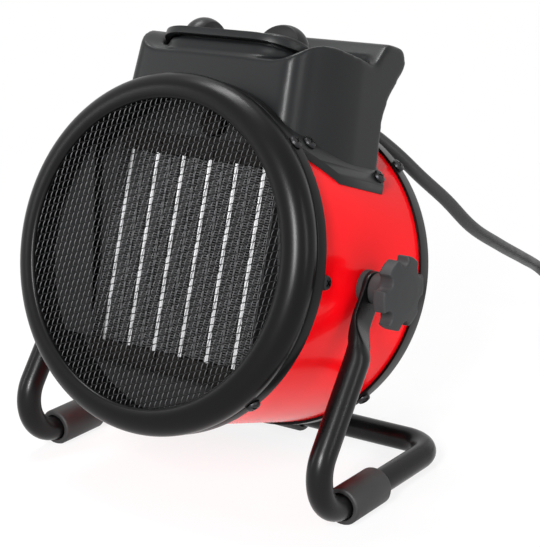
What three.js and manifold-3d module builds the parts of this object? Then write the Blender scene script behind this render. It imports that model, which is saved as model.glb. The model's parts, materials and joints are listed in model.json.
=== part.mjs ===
// Forced air heater on a tube stand: a round barrel with a ceramic heating pack and a fan, tilting on two
// pivots between the arms of a bent tube, with a moulded handle and control housing on top.
// Millimetres, +Z up, front towards -Y. The origin is the middle of the footprint, on the floor.

import * as THREE from 'three';
import { mergeGeometries, mergeVertices } from 'three/addons/utils/BufferGeometryUtils.js';
import Module from 'manifold-3d';

const wasm = await Module();
wasm.setup();

// ---------------------------------------------------------------- driving dimensions

const GAP = 0.3; // between two pieces that touch
const AXIAL_STEPS = 48; // facets of the large round parts
const SMALL_STEPS = 16; // facets of the small round parts

// pivot and attitude of the barrel
const PIVOT_HEIGHT = 136; // pivot axis above the floor
const PIVOT_DEPTH = 68.5; // pivot axis behind the widest plane of the front ring
const TILT = THREE.MathUtils.degToRad(17.2); // front of the barrel raised

// barrel shell
const SHELL_RADIUS = 103.6;
const SHELL_WALL = 1.0;
const SHELL_FRONT = 4;
const SHELL_REAR = 136;

// front ring
const RING_OVERHANG = 6.4; // how far the ring stands out from the shell at its widest
const RING_RADIUS = SHELL_RADIUS + RING_OVERHANG;
const RING_STEP = 0.7; // the flange stays inside the widest radius
const RING_FLANGE_RADIUS = RING_RADIUS - RING_STEP;
const RING_REAR = 13.8;
const RING_NOSE = 12; // how far the ring stands in front of its widest plane
const RING_FACE = 16.8; // width of the face around the opening
const RING_OPENING = RING_RADIUS - RING_FACE;
const RING_LIP = 2.7; // thickness of the front lip
const RING_GROOVE = 0.9; // depth of the groove behind the nose
const MESH_MARGIN = 4.8; // the mesh reaches this far beyond the opening
const MESH_SEAT = RING_OPENING + MESH_MARGIN;

// wire mesh
const MESH_PITCH = 15;
const MESH_WIRE = 0.8;

// ceramic heating pack
const PACK_FRONT = 20;
const PACK_DEPTH = 15;
const PACK_HEIGHT = 121;
const ELEMENT_COUNT = 6;
const ELEMENT_PITCH = 20.4;
const TUBE_WIDTH = 3.4;
const TUBE_REACH = 6.5; // a tube stands out of its fins by this much
const FIN_FOLDS = 8;
const FIN_WALL = 0.6;
const END_BAR_HEIGHT = 13;
const BAFFLE_WALL = 1;

// fan and motor
const FAN_CLEARANCE = 8; // between the blade tips and the inside of the shell
const FAN_RADIUS = SHELL_RADIUS - SHELL_WALL - FAN_CLEARANCE;
const FAN_FRONT = 72;
const FAN_BLADES = 5;
const HUB_RADIUS = 22;
const HUB_DEPTH = 19;
const HUB_WALL = 3;
const BLADE_WALL = 2;
const BLADE_CHORD = 46;
const BLADE_ANGLE = THREE.MathUtils.degToRad(34);
const SHAFT_RADIUS = 3;
const SHAFT_PLAY = 0.15;
const MOTOR_RADIUS = 32;
const MOTOR_FRONT = 96;
const MOTOR_LENGTH = 28;
const MOTOR_WALL = 3;
const ROTOR_RADIUS = 23.5;
const ROTOR_PLAY = 0.5;
const BRACKET_ARMS = 3;
const BRACKET_WIDTH = 14;
const BRACKET_WALL = 2;

// rear ring and guard
const REAR_RING_OVERHANG = 2;
const REAR_RING_RADIUS = SHELL_RADIUS + REAR_RING_OVERHANG;
const REAR_RING_FRONT = 132.5;
const REAR_RING_BACK = 143.7;
const REAR_RING_FACE = 10.6;
const REAR_OPENING = REAR_RING_RADIUS - REAR_RING_FACE;
const GUARD_MARGIN = 5.2; // the guard reaches this far beyond the opening
const GUARD_RADIUS = REAR_OPENING + GUARD_MARGIN;
const GUARD_WALL = 2.5;
const GUARD_SPOKES = 6;
const GUARD_RINGS = 5;
const GUARD_BAR = 2.2;
const GUARD_HUB = 16;

// handle and control housing; heights are taken from the crown of the shell
const HOUSING_FRONT = 18;
const HOUSING_REAR = 102;
const HOUSING_HALF_FRONT = 53.5;
const HOUSING_CORNER = 14; // width and depth of the round front corners
const HOUSING_FLARE = 40; // behind the corners the sides run outwards over this depth
const HOUSING_HALF_REAR = 79.5;
const HOUSING_TOP = SHELL_RADIUS + 47.3;
const HOUSING_SHOULDER = SHELL_RADIUS + 37;
const HOUSING_RIM = SHELL_RADIUS + 21.4; // lowest part of the front rim, below the panel
const RIM_HALF = 18; // half width of that part
const SHOULDER_HALF = 60; // the rim is as high as the shoulders from here outwards
const RIM_RISE_END = 41; // depth at which the rim is level with the shoulders everywhere
const HOUSING_DIP = SHELL_RADIUS + 31.6; // lowest point of the side wall's edge, beside the hand opening
const HOUSING_DIP_DEPTH = 84;
const HOUSING_TAPER = 0.0018; // the sides lean in by this share for each mm of height
const HOUSING_LEAN = 0.06; // lean of the front wall
const LEAN_LEVEL = SHELL_RADIUS - 5.6; // level at which the front wall keeps its depth
const HOUSING_FOOT = SHELL_RADIUS - 43.6; // lowest level that the housing's walls reach
const TAPER_LEVEL = HOUSING_FOOT + 14; // level at which the sides keep their width
const BAR_DEPTH = 22; // the grip bar stands out behind the rear wall by this much
const BAR_REAR = HOUSING_REAR + BAR_DEPTH;
const BAR_ROUND = 9; // rounding of the bar's rear edge
const BAR_HOLLOW = SHELL_RADIUS + 17.4; // where the hollow below the bar curves most
const GRIP_FRONT = 76;
const GRIP_REAR = 98;
const GRIP_FLOOR = SHELL_RADIUS + 19.4;
const GRIP_HALF = 62;
const GRIP_CORNER = 6;
const FLANGE_WALL = 3.1;
const FLANGE_FRONT = 14.3;
const FLANGE_REAR = 103.5;
const FLANGE_MARGIN = 7.5; // the flange is wider than the walls by this much
const FLANGE_EAR = 4.5; // and by this much at the front corners, where the screws are
const FLANGE_LOWEST = HOUSING_FOOT - 20;
const RECESS_FLOOR = SHELL_RADIUS + 17.4;
const RECESS_FRONT = 24;
const RECESS_SILL = SHELL_RADIUS + 26.9; // rear edge of the recess, level with the panel
const RECESS_CORNER = 6;
const CAVITY_WALL = 3.5;
const ROOM_HALF = 44; // half width of the room for the switches
const ROOM_FRONT = 31;

// control panel
const PANEL_FRONT = 21;
const PANEL_TOP = SHELL_RADIUS + 37.4;
const PANEL_HALF = 55;
const PANEL_CORNER = 30; // rounding of the two front corners
const PANEL_PLAY = 1.3; // between the panel's edge and the recess around it
const RECESS_HALF = PANEL_HALF + PANEL_PLAY;
const PANEL_LENGTH = 50;
const PANEL_SLOPE = THREE.MathUtils.degToRad(12);
const PANEL_WALL = 4;
const PANEL_LIP = 7.3;
const PANEL_LIP_WALL = 4;
const PANEL_LIP_ROOM = 5.2; // the rim is cut away this far below the lip
const PANEL_ROUND = 1.4;
const PANEL_SKIRT_INSET = 8;
const PANEL_SKIRT_WALL = 2.5;
const KNOB_SPACING = 60;
const KNOB_SETBACK = 29;
const KNOB_RADIUS = 18;
const KNOB_SKIRT = 4;
const KNOB_HEIGHT = 15.5;
const KNOB_GRIP_WALL = 10;
const KNOB_ROUND = 1.5;
const SPINDLE_RADIUS = 3;
const SPINDLE_HOLD = 9; // length of the spindle inside its knob
const SPINDLE_FOOT = 3; // closed end of the bore that it stands in
const SWITCH_SIZE = 20;
const SWITCH_HEIGHT = 14;
const TERMINAL_HALF = 20;
const TERMINAL_DEPTH = 16;
const TERMINAL_HEIGHT = 9;

// stand
const TUBE_RADIUS = 8;
const STAND_CLEARANCE = 12.1; // from the shell to the centre line of the tube
const STAND_HALF = SHELL_RADIUS + STAND_CLEARANCE;
const STAND_FRONT = 68; // foremost point of the tube's centre line, before the pivot
const STAND_BEND = 25;
const STAND_REAR = 69;
const STAND_CORNER = 22;
const SLEEVE_RADIUS = 12;
const SLEEVE_FLAT = 0.6;
const SLEEVE_LENGTH = 39;
const SLEEVE_FRONT = 45; // front end of a sleeve, before the pivot
const REAR_FOOT_LENGTH = 24;
const EYE_WIDTH = 25;
const EYE_WALL = 3;
const EYE_LENGTH = 30;
const EYE_TAPER = 22;

// pivot hardware
const SPACER_RADIUS = 12;
const STUD_RADIUS = 3;
const STUD_PLAY = 0.4;
const STUD_HOLE = 4;
const NUT_RADIUS = 7.5;
const NUT_HEIGHT = 5;
const STAR_RADIUS = 22;
const STAR_NOTCH = 4;
const STAR_LOBES = 6;
const STAR_HEAD = 12.4;
const STAR_HUB_RADIUS = 11;
const STAR_HUB = 10;

// screws
const SCREW_HEAD = 4.5;
const SCREW_HEAD_HEIGHT = 2.4;
const SCREW_SHANK = 1.8;
const SCREW_PLAY = 0.3;
const SCREW_STEPS = 8;
const SCREW_REACH = 3; // shank beyond the last sheet

// mains cord
const CORD_DIAMETER = 9.5;
const CORD_SIDES = 10;
const CORD_STEP = 15;
const GLAND_HEIGHT = SHELL_RADIUS + 10.4; // above the barrel's axis
const GLAND_FLANGE = 9;
const GLAND_RADIUS = 7.4;
const GLAND_TIP = 6.3;
const GLAND_LENGTH = 30;
const GLAND_SHANK = 5.5;
const COIL_X = 117; // middle of the coil, from the pivot
const COIL_Y = 404;
const COIL_RADIUS = 48; // middle of the turns
const COIL_TURNS = 3.35;
const COIL_START = THREE.MathUtils.degToRad(135);
const COIL_PITCH = 10.4; // between two turns side by side
const COIL_LAYER = 10; // between two layers
const COIL_LIFT = 2.2; // room for the tie below the coil
const COIL_TAIL = 24; // straight end before the plug
const LOOP_STEPS = 24;
const LOOP_SIDES = 6;
const TIE_ANGLE = THREE.MathUtils.degToRad(60);
const TIE_WALL = 1.2;
const TIE_WIDTH = 8;
const TIE_PLAY = 0.8;
const PLUG_HALF_WIDTH = 18;
const PLUG_HALF_HEIGHT = 15.5;
const PLUG_NECK = 28;
const PLUG_LENGTH = 58;
const PIN_RADIUS = 2.4;
const PIN_LENGTH = 19;
const PIN_SPACING = 19;

// ---------------------------------------------------------------- geometry helpers

const WELD = 1e-4;
const v2 = (x, y) => new THREE.Vector2(x, y);
const v3 = (x, y, z) => new THREE.Vector3(x, y, z);

function welded(geometry) {
  const source = geometry.clone();
  source.deleteAttribute('normal');
  source.deleteAttribute('uv');
  const merged = mergeVertices(source, WELD);
  const position = merged.getAttribute('position');
  const index = [];
  let volume = 0;
  for (let i = 0; i < merged.index.count; i += 3) {
    const [a, b, c] = [0, 1, 2].map((k) => merged.index.getX(i + k));
    if (a === b || b === c || c === a) continue;
    index.push(a, b, c);
    const p = [a, b, c].map((k) => new THREE.Vector3().fromBufferAttribute(position, k));
    volume += p[0].dot(p[1].cross(p[2]));
  }
  if (volume < 0) index.reverse();
  merged.setIndex(index);
  return merged;
}

function solid(geometry) {
  const g = welded(geometry);
  const vertProperties = new Float32Array(g.getAttribute('position').array);
  const triVerts = new Uint32Array(g.index.array);
  return new wasm.Manifold(new wasm.Mesh({ numProp: 3, vertProperties, triVerts }));
}

function geometryOf(manifold) {
  const mesh = manifold.getMesh();
  const geometry = new THREE.BufferGeometry();
  geometry.setAttribute('position', new THREE.BufferAttribute(new Float32Array(mesh.vertProperties), 3));
  geometry.setIndex(new THREE.BufferAttribute(new Uint32Array(mesh.triVerts), 1));
  return geometry;
}

function join(...geometries) {
  const [first, ...rest] = geometries.map(solid);
  return geometryOf(rest.reduce((whole, piece) => whole.add(piece), first));
}

function cut(geometry, ...tools) {
  return geometryOf(tools.reduce((whole, tool) => whole.subtract(solid(tool)), solid(geometry)));
}

function common(a, b) {
  return geometryOf(solid(a).intersect(solid(b)));
}

// a closed profile of (radius, depth) points turned about the barrel's axis, which runs along Y
function turned(points, steps = AXIAL_STEPS) {
  const profile = points.map(([radius, depth]) => v2(radius, depth));
  const first = profile[0];
  const last = profile[profile.length - 1];
  if (first.x > 0 || last.x > 0) profile.push(first.clone());
  return new THREE.LatheGeometry(profile, steps);
}

const alongX = (geometry, sign = 1) => geometry.clone().rotateZ((-sign * Math.PI) / 2);
const alongZ = (geometry) => geometry.clone().rotateX(Math.PI / 2);

function rod(radius, from, to, steps = SMALL_STEPS) {
  return turned([[0, from], [radius, from], [radius, to], [0, to]], steps);
}

function block(x0, x1, y0, y1, z0, z1) {
  const box = new THREE.BoxGeometry(x1 - x0, y1 - y0, z1 - z0);
  return box.translate((x0 + x1) / 2, (y0 + y1) / 2, (z0 + z1) / 2);
}

function extruded(shape, depth, options = {}) {
  return new THREE.ExtrudeGeometry(shape, { depth, bevelEnabled: false, curveSegments: 6, ...options });
}

// a shape drawn in (x, height), standing across the barrel between two depths
function slab(shape, from, to) {
  return extruded(shape, to - from).rotateX(Math.PI / 2).translate(0, to, 0);
}

// the same with a row of separate holes through it
function pierced(shape, holes, from, to) {
  return cut(slab(shape, from, to), mergeGeometries(holes.map((hole) => slab(hole, from - 1, to + 1))));
}

// a shape drawn in (depth, height), running from one side to the other
function prism(shape, left, right, options = {}) {
  const turn = new THREE.Matrix4().makeBasis(v3(0, 1, 0), v3(0, 0, 1), v3(1, 0, 0));
  return extruded(shape, right - left, options).applyMatrix4(turn).translate(left, 0, 0);
}

// a shape drawn in (x, depth), standing up between two heights
const column = (shape, low, high, options = {}) => extruded(shape, high - low, options).translate(0, 0, low);

function rectangle(x0, x1, y0, y1, corner = 0) {
  const shape = new THREE.Shape();
  if (corner === 0) {
    return shape.moveTo(x0, y0).lineTo(x1, y0).lineTo(x1, y1).lineTo(x0, y1).closePath();
  }
  shape.moveTo(x0 + corner, y0).lineTo(x1 - corner, y0).quadraticCurveTo(x1, y0, x1, y0 + corner);
  shape.lineTo(x1, y1 - corner).quadraticCurveTo(x1, y1, x1 - corner, y1);
  shape.lineTo(x0 + corner, y1).quadraticCurveTo(x0, y1, x0, y1 - corner);
  return shape.lineTo(x0, y0 + corner).quadraticCurveTo(x0, y0, x0 + corner, y0);
}

// a skin over rings of equally many points, closed at both ends
function loft(rings) {
  const count = rings[0].length;
  const index = [];
  for (let i = 0; i + 1 < rings.length; i += 1) {
    for (let k = 0; k < count; k += 1) {
      const a = i * count + k;
      const b = i * count + ((k + 1) % count);
      index.push(a, b, b + count, a, b + count, a + count);
    }
  }
  for (const [start, flip] of [[0, true], [(rings.length - 1) * count, false]]) {
    for (let k = 0; k < count / 2 - 1; k += 1) {
      const quad = [k, k + 1, count - 2 - k, count - 1 - k].map((i) => i + start);
      const faces = [[quad[0], quad[1], quad[2]], [quad[0], quad[2], quad[3]]];
      faces.forEach((face) => index.push(...(flip ? face.reverse() : face)));
    }
  }
  const geometry = new THREE.BufferGeometry().setFromPoints(rings.flat());
  geometry.setIndex(index);
  return geometry;
}

// a ring of points round a centre, in the plane of two directions
function ringAt(centre, across, up, halfAcross, halfUp, sides, square = 2) {
  return Array.from({ length: sides }, (_, k) => {
    const angle = ((k + 0.5) / sides) * 2 * Math.PI;
    const [c, s] = [Math.cos(angle), Math.sin(angle)];
    const x = Math.sign(c) * Math.abs(c) ** (2 / square) * halfAcross;
    const y = Math.sign(s) * Math.abs(s) ** (2 / square) * halfUp;
    return centre.clone().addScaledVector(across, x).addScaledVector(up, y);
  });
}

// round sections along a line, carried along without twist
function sections(points, radius, sides, start = v3(0, 0, 1)) {
  let across = start;
  return points.map((p, i) => {
    const before = points[Math.max(i - 1, 0)];
    const after = points[Math.min(i + 1, points.length - 1)];
    const tangent = after.clone().sub(before).normalize();
    across = across.clone().addScaledVector(tangent, -across.dot(tangent)).normalize();
    return ringAt(p, across, across.clone().cross(tangent), radius, radius, sides);
  });
}

const tube = (points, radius, sides) => loft(sections(points, radius, sides));

// ---------------------------------------------------------------- scene graph

const heater = new THREE.Group();
const pivot = new THREE.Group();
pivot.position.z = PIVOT_HEIGHT;
const barrel = new THREE.Group();
barrel.rotation.x = -TILT;
const along = new THREE.Group(); // x to the right, y back along the barrel's axis, z up from that axis
along.position.y = -PIVOT_DEPTH;
heater.add(pivot);
pivot.add(barrel);
barrel.add(along);

const panelFrame = new THREE.Group();
panelFrame.position.set(0, PANEL_FRONT, PANEL_TOP);
panelFrame.rotation.x = -PANEL_SLOPE;
along.add(panelFrame);

const LOOKS = {
  black_plastic: [0x1c1d1d, 0.5, 0],
  satin_black: [0x151515, 0.42, 0],
  red_paint: [0xd8080c, 0.22, 0.1],
  black_paint: [0x141414, 0.35, 0.2],
  rubber: [0x1a1a1a, 0.8, 0],
  dark_wire: [0x2a2a2a, 0.45, 0.8],
  aluminium: [0xb9babb, 0.4, 0.9],
  steel: [0x8a8c8e, 0.4, 0.9],
  grey_sheet: [0x3a3b3c, 0.6, 0.4],
  insulator: [0x3b3630, 0.7, 0],
};

function add(parent, name, geometry, look) {
  const [color, roughness, metalness] = LOOKS[look];
  const material = new THREE.MeshStandardMaterial({ color, roughness, metalness });
  const mesh = new THREE.Mesh(welded(geometry), material);
  mesh.name = name;
  parent.add(mesh);
  return mesh;
}

// ---------------------------------------------------------------- screws

// a place on a round part: angle from the top towards the right, depth, radius of the seat, thickness below
const onRound = (degrees, depth, seat, depthBelow) => {
  const angle = THREE.MathUtils.degToRad(degrees);
  return { angle, depth, seat, depthBelow };
};

function placed(geometry, { angle, depth }) {
  return geometry.rotateY(angle).translate(0, depth, 0);
}

// pan head and shank, pointing away from the barrel's axis
function screw({ seat, depthBelow }) {
  const under = seat + GAP;
  const tip = seat - depthBelow - SCREW_REACH;
  return alongZ(turned([
    [0, tip],
    [SCREW_SHANK, tip],
    [SCREW_SHANK, under],
    [SCREW_HEAD, under],
    [SCREW_HEAD, under + SCREW_HEAD_HEIGHT * 0.4],
    [SCREW_HEAD * 0.72, under + SCREW_HEAD_HEIGHT],
    [0, under + SCREW_HEAD_HEIGHT],
  ], SCREW_STEPS));
}

function screwHole(place) {
  const radius = (SCREW_SHANK + SCREW_PLAY) / Math.cos(Math.PI / SCREW_STEPS);
  return placed(alongZ(rod(radius, place.seat - 20, place.seat + 20, SCREW_STEPS)), place);
}

const RING_SCREW_BELOW = RING_FLANGE_RADIUS - SHELL_RADIUS + SHELL_WALL;
const RING_SCREW_DEPTH = RING_REAR - 5;
const ringScrews = [45, 135, 225, 315].map((angle) => (
  onRound(angle, RING_SCREW_DEPTH, RING_FLANGE_RADIUS, RING_SCREW_BELOW)
));
const REAR_SCREW_DEPTH = (REAR_RING_FRONT + REAR_RING_BACK) / 2;
const REAR_SCREW_BELOW = REAR_RING_RADIUS - GUARD_RADIUS - 1 - SCREW_REACH;
const rearScrews = [43, 135, 225, 317].map((angle) => (
  onRound(angle, REAR_SCREW_DEPTH, REAR_RING_RADIUS, REAR_SCREW_BELOW)
));
const FLANGE_SEAT = SHELL_RADIUS + GAP + FLANGE_WALL;
const flangeScrews = [1, -1].flatMap((sign) => [
  [HOUSING_HALF_FRONT + HOUSING_CORNER + FLANGE_EAR, FLANGE_FRONT + 17],
  [HOUSING_HALF_REAR + FLANGE_MARGIN / 2, FLANGE_REAR - 5.6],
].map(([x, depth]) => {
  const angle = THREE.MathUtils.radToDeg(Math.asin(x / FLANGE_SEAT));
  return onRound(sign * angle, depth, FLANGE_SEAT, FLANGE_WALL + GAP + SHELL_WALL);
}));
const sideScrews = [90, 270].map((angle) => onRound(angle, 23.4, SHELL_RADIUS, SHELL_WALL));

// ---------------------------------------------------------------- barrel, rings and mesh

const SHELL_BORE = SHELL_RADIUS - SHELL_WALL;

function barrelShell() {
  const sheet = turned([
    [SHELL_BORE, SHELL_FRONT],
    [SHELL_RADIUS, SHELL_FRONT],
    [SHELL_RADIUS, SHELL_REAR],
    [SHELL_BORE, SHELL_REAR],
  ]);
  const pivotHole = alongX(rod(STUD_HOLE, -RING_RADIUS, RING_RADIUS)).translate(0, PIVOT_DEPTH, 0);
  const screwHoles = [...ringScrews, ...flangeScrews, ...sideScrews].map((place) => screwHole(place));
  return cut(sheet, pivotHole, ...screwHoles);
}

function arcPoints(centreR, centreS, radiusR, radiusS, from, to, steps) {
  return Array.from({ length: steps + 1 }, (_, k) => {
    const angle = THREE.MathUtils.degToRad(from + ((to - from) * k) / steps);
    return [centreR + radiusR * Math.cos(angle), centreS + radiusS * Math.sin(angle)];
  });
}

function frontRing() {
  const seat = SHELL_RADIUS + GAP;
  const face = -RING_NOSE + RING_LIP;
  const shoulder = SHELL_FRONT - GAP;
  return turned([
    [RING_FLANGE_RADIUS, RING_REAR],
    [RING_FLANGE_RADIUS, 5.2],
    [RING_FLANGE_RADIUS - RING_GROOVE, 4.6],
    [RING_FLANGE_RADIUS - RING_GROOVE, 2.8],
    [RING_RADIUS, 2.2],
    ...arcPoints(MESH_SEAT, -1, RING_RADIUS - MESH_SEAT, RING_NOSE - 1, 0, -90, 5),
    [RING_OPENING + 1.8, -RING_NOSE],
    [RING_OPENING, -RING_NOSE + 1.5],
    [RING_OPENING, face],
    [MESH_SEAT, face],
    [MESH_SEAT, -5.5],
    [seat + 3, -1],
    [seat + 3, shoulder - 2.5],
    [SHELL_BORE - 1, shoulder - 2.5],
    [SHELL_BORE - 1, shoulder],
    [seat, shoulder],
    [seat, RING_REAR],
  ]);
}

// a flat net: a disc with square gaps, closed along its edge
function frontMesh() {
  const radius = MESH_SEAT - GAP;
  const front = -RING_NOSE + RING_LIP + GAP;
  const half = (MESH_PITCH - MESH_WIRE) / 2;
  const reach = Math.floor(radius / MESH_PITCH);
  const gaps = [];
  for (let i = -reach; i <= reach; i += 1) {
    for (let k = -reach; k <= reach; k += 1) {
      const [x, z] = [i * MESH_PITCH, k * MESH_PITCH];
      const corner = Math.hypot(Math.abs(x) + half, Math.abs(z) + half);
      if (corner < radius - MESH_WIRE) {
        gaps.push(block(x - half, x + half, front - 1, front + MESH_WIRE + 1, z - half, z + half));
      }
    }
  }
  return cut(rod(radius, front, front + MESH_WIRE, AXIAL_STEPS), mergeGeometries(gaps));
}

function meshClamp() {
  const front = -RING_NOSE + RING_LIP + 2 * GAP + MESH_WIRE;
  return turned([
    [RING_OPENING + 0.8, front],
    [MESH_SEAT - GAP, front],
    [MESH_SEAT - GAP, front + 2],
    [RING_OPENING + 0.8, front + 2],
  ]);
}

function rearRing() {
  const seat = SHELL_RADIUS + GAP;
  const shoulder = SHELL_REAR + GAP;
  const pocket = GUARD_RADIUS + GAP;
  const lip = REAR_RING_BACK - 2.5;
  return turned([
    [REAR_RING_RADIUS, REAR_RING_FRONT],
    [REAR_RING_RADIUS, REAR_RING_BACK - 1.5],
    [REAR_RING_RADIUS - 1.5, REAR_RING_BACK],
    [REAR_OPENING, REAR_RING_BACK],
    [REAR_OPENING, lip],
    [pocket, lip],
    [pocket, shoulder],
    [seat, shoulder],
    [seat, REAR_RING_FRONT],
  ]);
}

const rearRingPart = () => cut(rearRing(), ...rearScrews.map((place) => screwHole(place)));

// round bars crossed by spokes, as one moulded disc
function rearGuard() {
  const holes = [];
  const band = (REAR_OPENING - 1 - GUARD_HUB) / GUARD_RINGS;
  for (let ring = 0; ring < GUARD_RINGS; ring += 1) {
    const inner = GUARD_HUB + ring * band;
    const outer = inner + band - GUARD_BAR;
    for (let spoke = 0; spoke < GUARD_SPOKES; spoke += 1) {
      const middle = ((spoke + 0.5) / GUARD_SPOKES) * 2 * Math.PI;
      const reach = (r) => Math.PI / GUARD_SPOKES - Math.asin(GUARD_BAR / 2 / r);
      const steps = 2 + Math.floor(ring / 2);
      const points = [];
      for (let k = 0; k <= steps; k += 1) {
        const angle = middle + reach(inner) * (1 - (2 * k) / steps);
        points.push(v2(inner * Math.cos(angle), inner * Math.sin(angle)));
      }
      for (let k = 0; k <= steps; k += 1) {
        const angle = middle - reach(outer) * (1 - (2 * k) / steps);
        points.push(v2(outer * Math.cos(angle), outer * Math.sin(angle)));
      }
      holes.push(new THREE.Shape(points));
    }
  }
  const back = REAR_RING_BACK - 2.5 - GAP;
  const disc = rod(GUARD_RADIUS, back - GUARD_WALL, back, AXIAL_STEPS);
  return cut(disc, mergeGeometries(holes.map((hole) => slab(hole, back - GUARD_WALL - 1, back + 1))));
}

function addScrews(name, places) {
  places.forEach((place, k) => {
    const piece = add(along, `${name}_${k + 1}`, screw(place), 'satin_black');
    piece.position.y = place.depth;
    piece.rotation.y = place.angle;
  });
}

addScrews('ring_screw', ringScrews);
addScrews('rear_screw', rearScrews);
addScrews('flange_screw', flangeScrews);
addScrews('side_screw', sideScrews);
add(along, 'barrel_shell', barrelShell(), 'red_paint');
add(along, 'front_ring', cut(frontRing(), ...ringScrews.map((place) => screwHole(place))), 'satin_black');
add(along, 'front_mesh', frontMesh(), 'dark_wire');
add(along, 'mesh_clamp_ring', meshClamp(), 'satin_black');
add(along, 'rear_ring', rearRingPart(), 'satin_black');
add(along, 'rear_guard', rearGuard(), 'black_plastic');

// ---------------------------------------------------------------- heating pack

const PACK_HALF = (ELEMENT_COUNT * ELEMENT_PITCH) / 2;
const PACK_REAR = PACK_FRONT + PACK_DEPTH;

// one flat tube with a folded fin and a thin side plate on each side of it
function heatingElement() {
  const side = (ELEMENT_PITCH - GAP) / 2;
  const tubeSide = TUBE_WIDTH / 2;
  const finSide = side - FIN_WALL;
  const half = PACK_HEIGHT / 2;
  const tip = half + TUBE_REACH;
  const foot = [[-tubeSide, -half], [-tubeSide, -tip], [tubeSide, -tip], [tubeSide, -half]];
  const outline = [[-side, -half], ...foot];
  const shape = new THREE.Shape([...outline, ...outline.map(([x, y]) => [-x, -y])].map(([x, y]) => v2(x, y)));
  const step = (PACK_HEIGHT - 2 * FIN_WALL) / (2 * FIN_FOLDS);
  const passages = [];
  for (let k = 0; k + 1 < 2 * FIN_FOLDS; k += 1) {
    const low = -half + FIN_WALL + k * step;
    const [base, apex] = k % 2 ? [tubeSide, finSide - FIN_WALL] : [finSide, tubeSide + FIN_WALL];
    for (const sign of [-1, 1]) {
      passages.push(new THREE.Shape([
        v2(sign * base, low + FIN_WALL),
        v2(sign * base, low + 2 * step - FIN_WALL),
        v2(sign * apex, low + step),
      ]));
    }
  }
  return pierced(shape, passages, PACK_FRONT, PACK_REAR);
}

// insulating bar with a pocket for each tube end
function endBar() {
  const low = PACK_HEIGHT / 2 + GAP;
  const pocket = PACK_HEIGHT / 2 + TUBE_REACH + GAP;
  const points = [v2(-PACK_HALF, low + END_BAR_HEIGHT), v2(-PACK_HALF, low)];
  for (let k = 0; k < ELEMENT_COUNT; k += 1) {
    const x = (k - (ELEMENT_COUNT - 1) / 2) * ELEMENT_PITCH;
    const half = TUBE_WIDTH / 2 + GAP;
    points.push(v2(x - half, low), v2(x - half, pocket), v2(x + half, pocket), v2(x + half, low));
  }
  points.push(v2(PACK_HALF, low), v2(PACK_HALF, low + END_BAR_HEIGHT));
  return slab(new THREE.Shape(points), PACK_FRONT + 1, PACK_REAR);
}

// sheet metal frame: a disc with a window for the pack and a wing on each side, level with the pack's front
function heaterBaffle() {
  const radius = SHELL_BORE - GAP;
  const disc = new THREE.Shape().absarc(0, 0, radius, 0, 2 * Math.PI);
  const windowHalf = PACK_HALF + GAP;
  const windowHeight = PACK_HEIGHT / 2 + TUBE_REACH;
  disc.holes.push(rectangle(-windowHalf, windowHalf, -windowHeight, windowHeight));
  const front = PACK_REAR + GAP;
  const plate = extruded(disc, BAFFLE_WALL, { curveSegments: 24 }).rotateX(Math.PI / 2);
  const pieces = [plate.translate(0, front + BAFFLE_WALL, 0)];
  const wingHeight = PACK_HEIGHT / 2;
  const edge = Math.asin(wingHeight / radius);
  for (const sign of [-1, 1]) {
    const wing = new THREE.Shape().moveTo(windowHalf, -wingHeight);
    wing.absarc(0, 0, radius, -edge, edge).lineTo(windowHalf, wingHeight);
    const sheet = slab(wing, PACK_FRONT, PACK_FRONT + BAFFLE_WALL);
    if (sign < 0) sheet.rotateY(Math.PI);
    const [a, b] = [sign * windowHalf, sign * (windowHalf + BAFFLE_WALL)];
    const rear = front + BAFFLE_WALL / 2;
    const web = block(Math.min(a, b), Math.max(a, b), PACK_FRONT, rear, -wingHeight, wingHeight);
    pieces.push(sheet, web);
  }
  return join(...pieces);
}

for (let k = 0; k < ELEMENT_COUNT; k += 1) {
  const element = add(along, `ptc_element_${k + 1}`, heatingElement(), 'aluminium');
  element.position.x = (k - (ELEMENT_COUNT - 1) / 2) * ELEMENT_PITCH;
}
add(along, 'ptc_end_bar_top', endBar(), 'insulator');
add(along, 'ptc_end_bar_bottom', endBar(), 'insulator').rotation.y = Math.PI;
add(along, 'heater_baffle', heaterBaffle(), 'grey_sheet');
const cutout = rod(8, PACK_REAR - 7, PACK_REAR, SMALL_STEPS);
add(along, 'thermal_cutout', cutout, 'insulator').position.z = PACK_HEIGHT / 2 + END_BAR_HEIGHT + 10;

// ---------------------------------------------------------------- fan and motor

const MOTOR_REAR = MOTOR_FRONT + MOTOR_LENGTH;

function fanBlade() {
  const stations = [HUB_RADIUS - 1.5, 45, 70, FAN_RADIUS];
  const middle = FAN_FRONT + HUB_DEPTH / 2;
  const rings = stations.map((radius) => {
    const chord = BLADE_CHORD * (0.55 + (0.45 * radius) / FAN_RADIUS);
    const share = Math.min(1, (HUB_DEPTH / 2 - 1.5) / ((chord / 2) * Math.sin(BLADE_ANGLE)));
    const face = (offset) => [-1, -0.33, 0.33, 1].map((t) => {
      const angle = (t * chord * Math.cos(BLADE_ANGLE)) / 2 / radius;
      const depth = middle + (t * chord * Math.sin(BLADE_ANGLE) * share) / 2 + offset + 2 * (1 - t * t);
      return v3(radius * Math.sin(angle), depth - 1.5, radius * Math.cos(angle));
    });
    return [...face(0), ...face(BLADE_WALL).reverse()];
  });
  return loft(rings);
}

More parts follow.
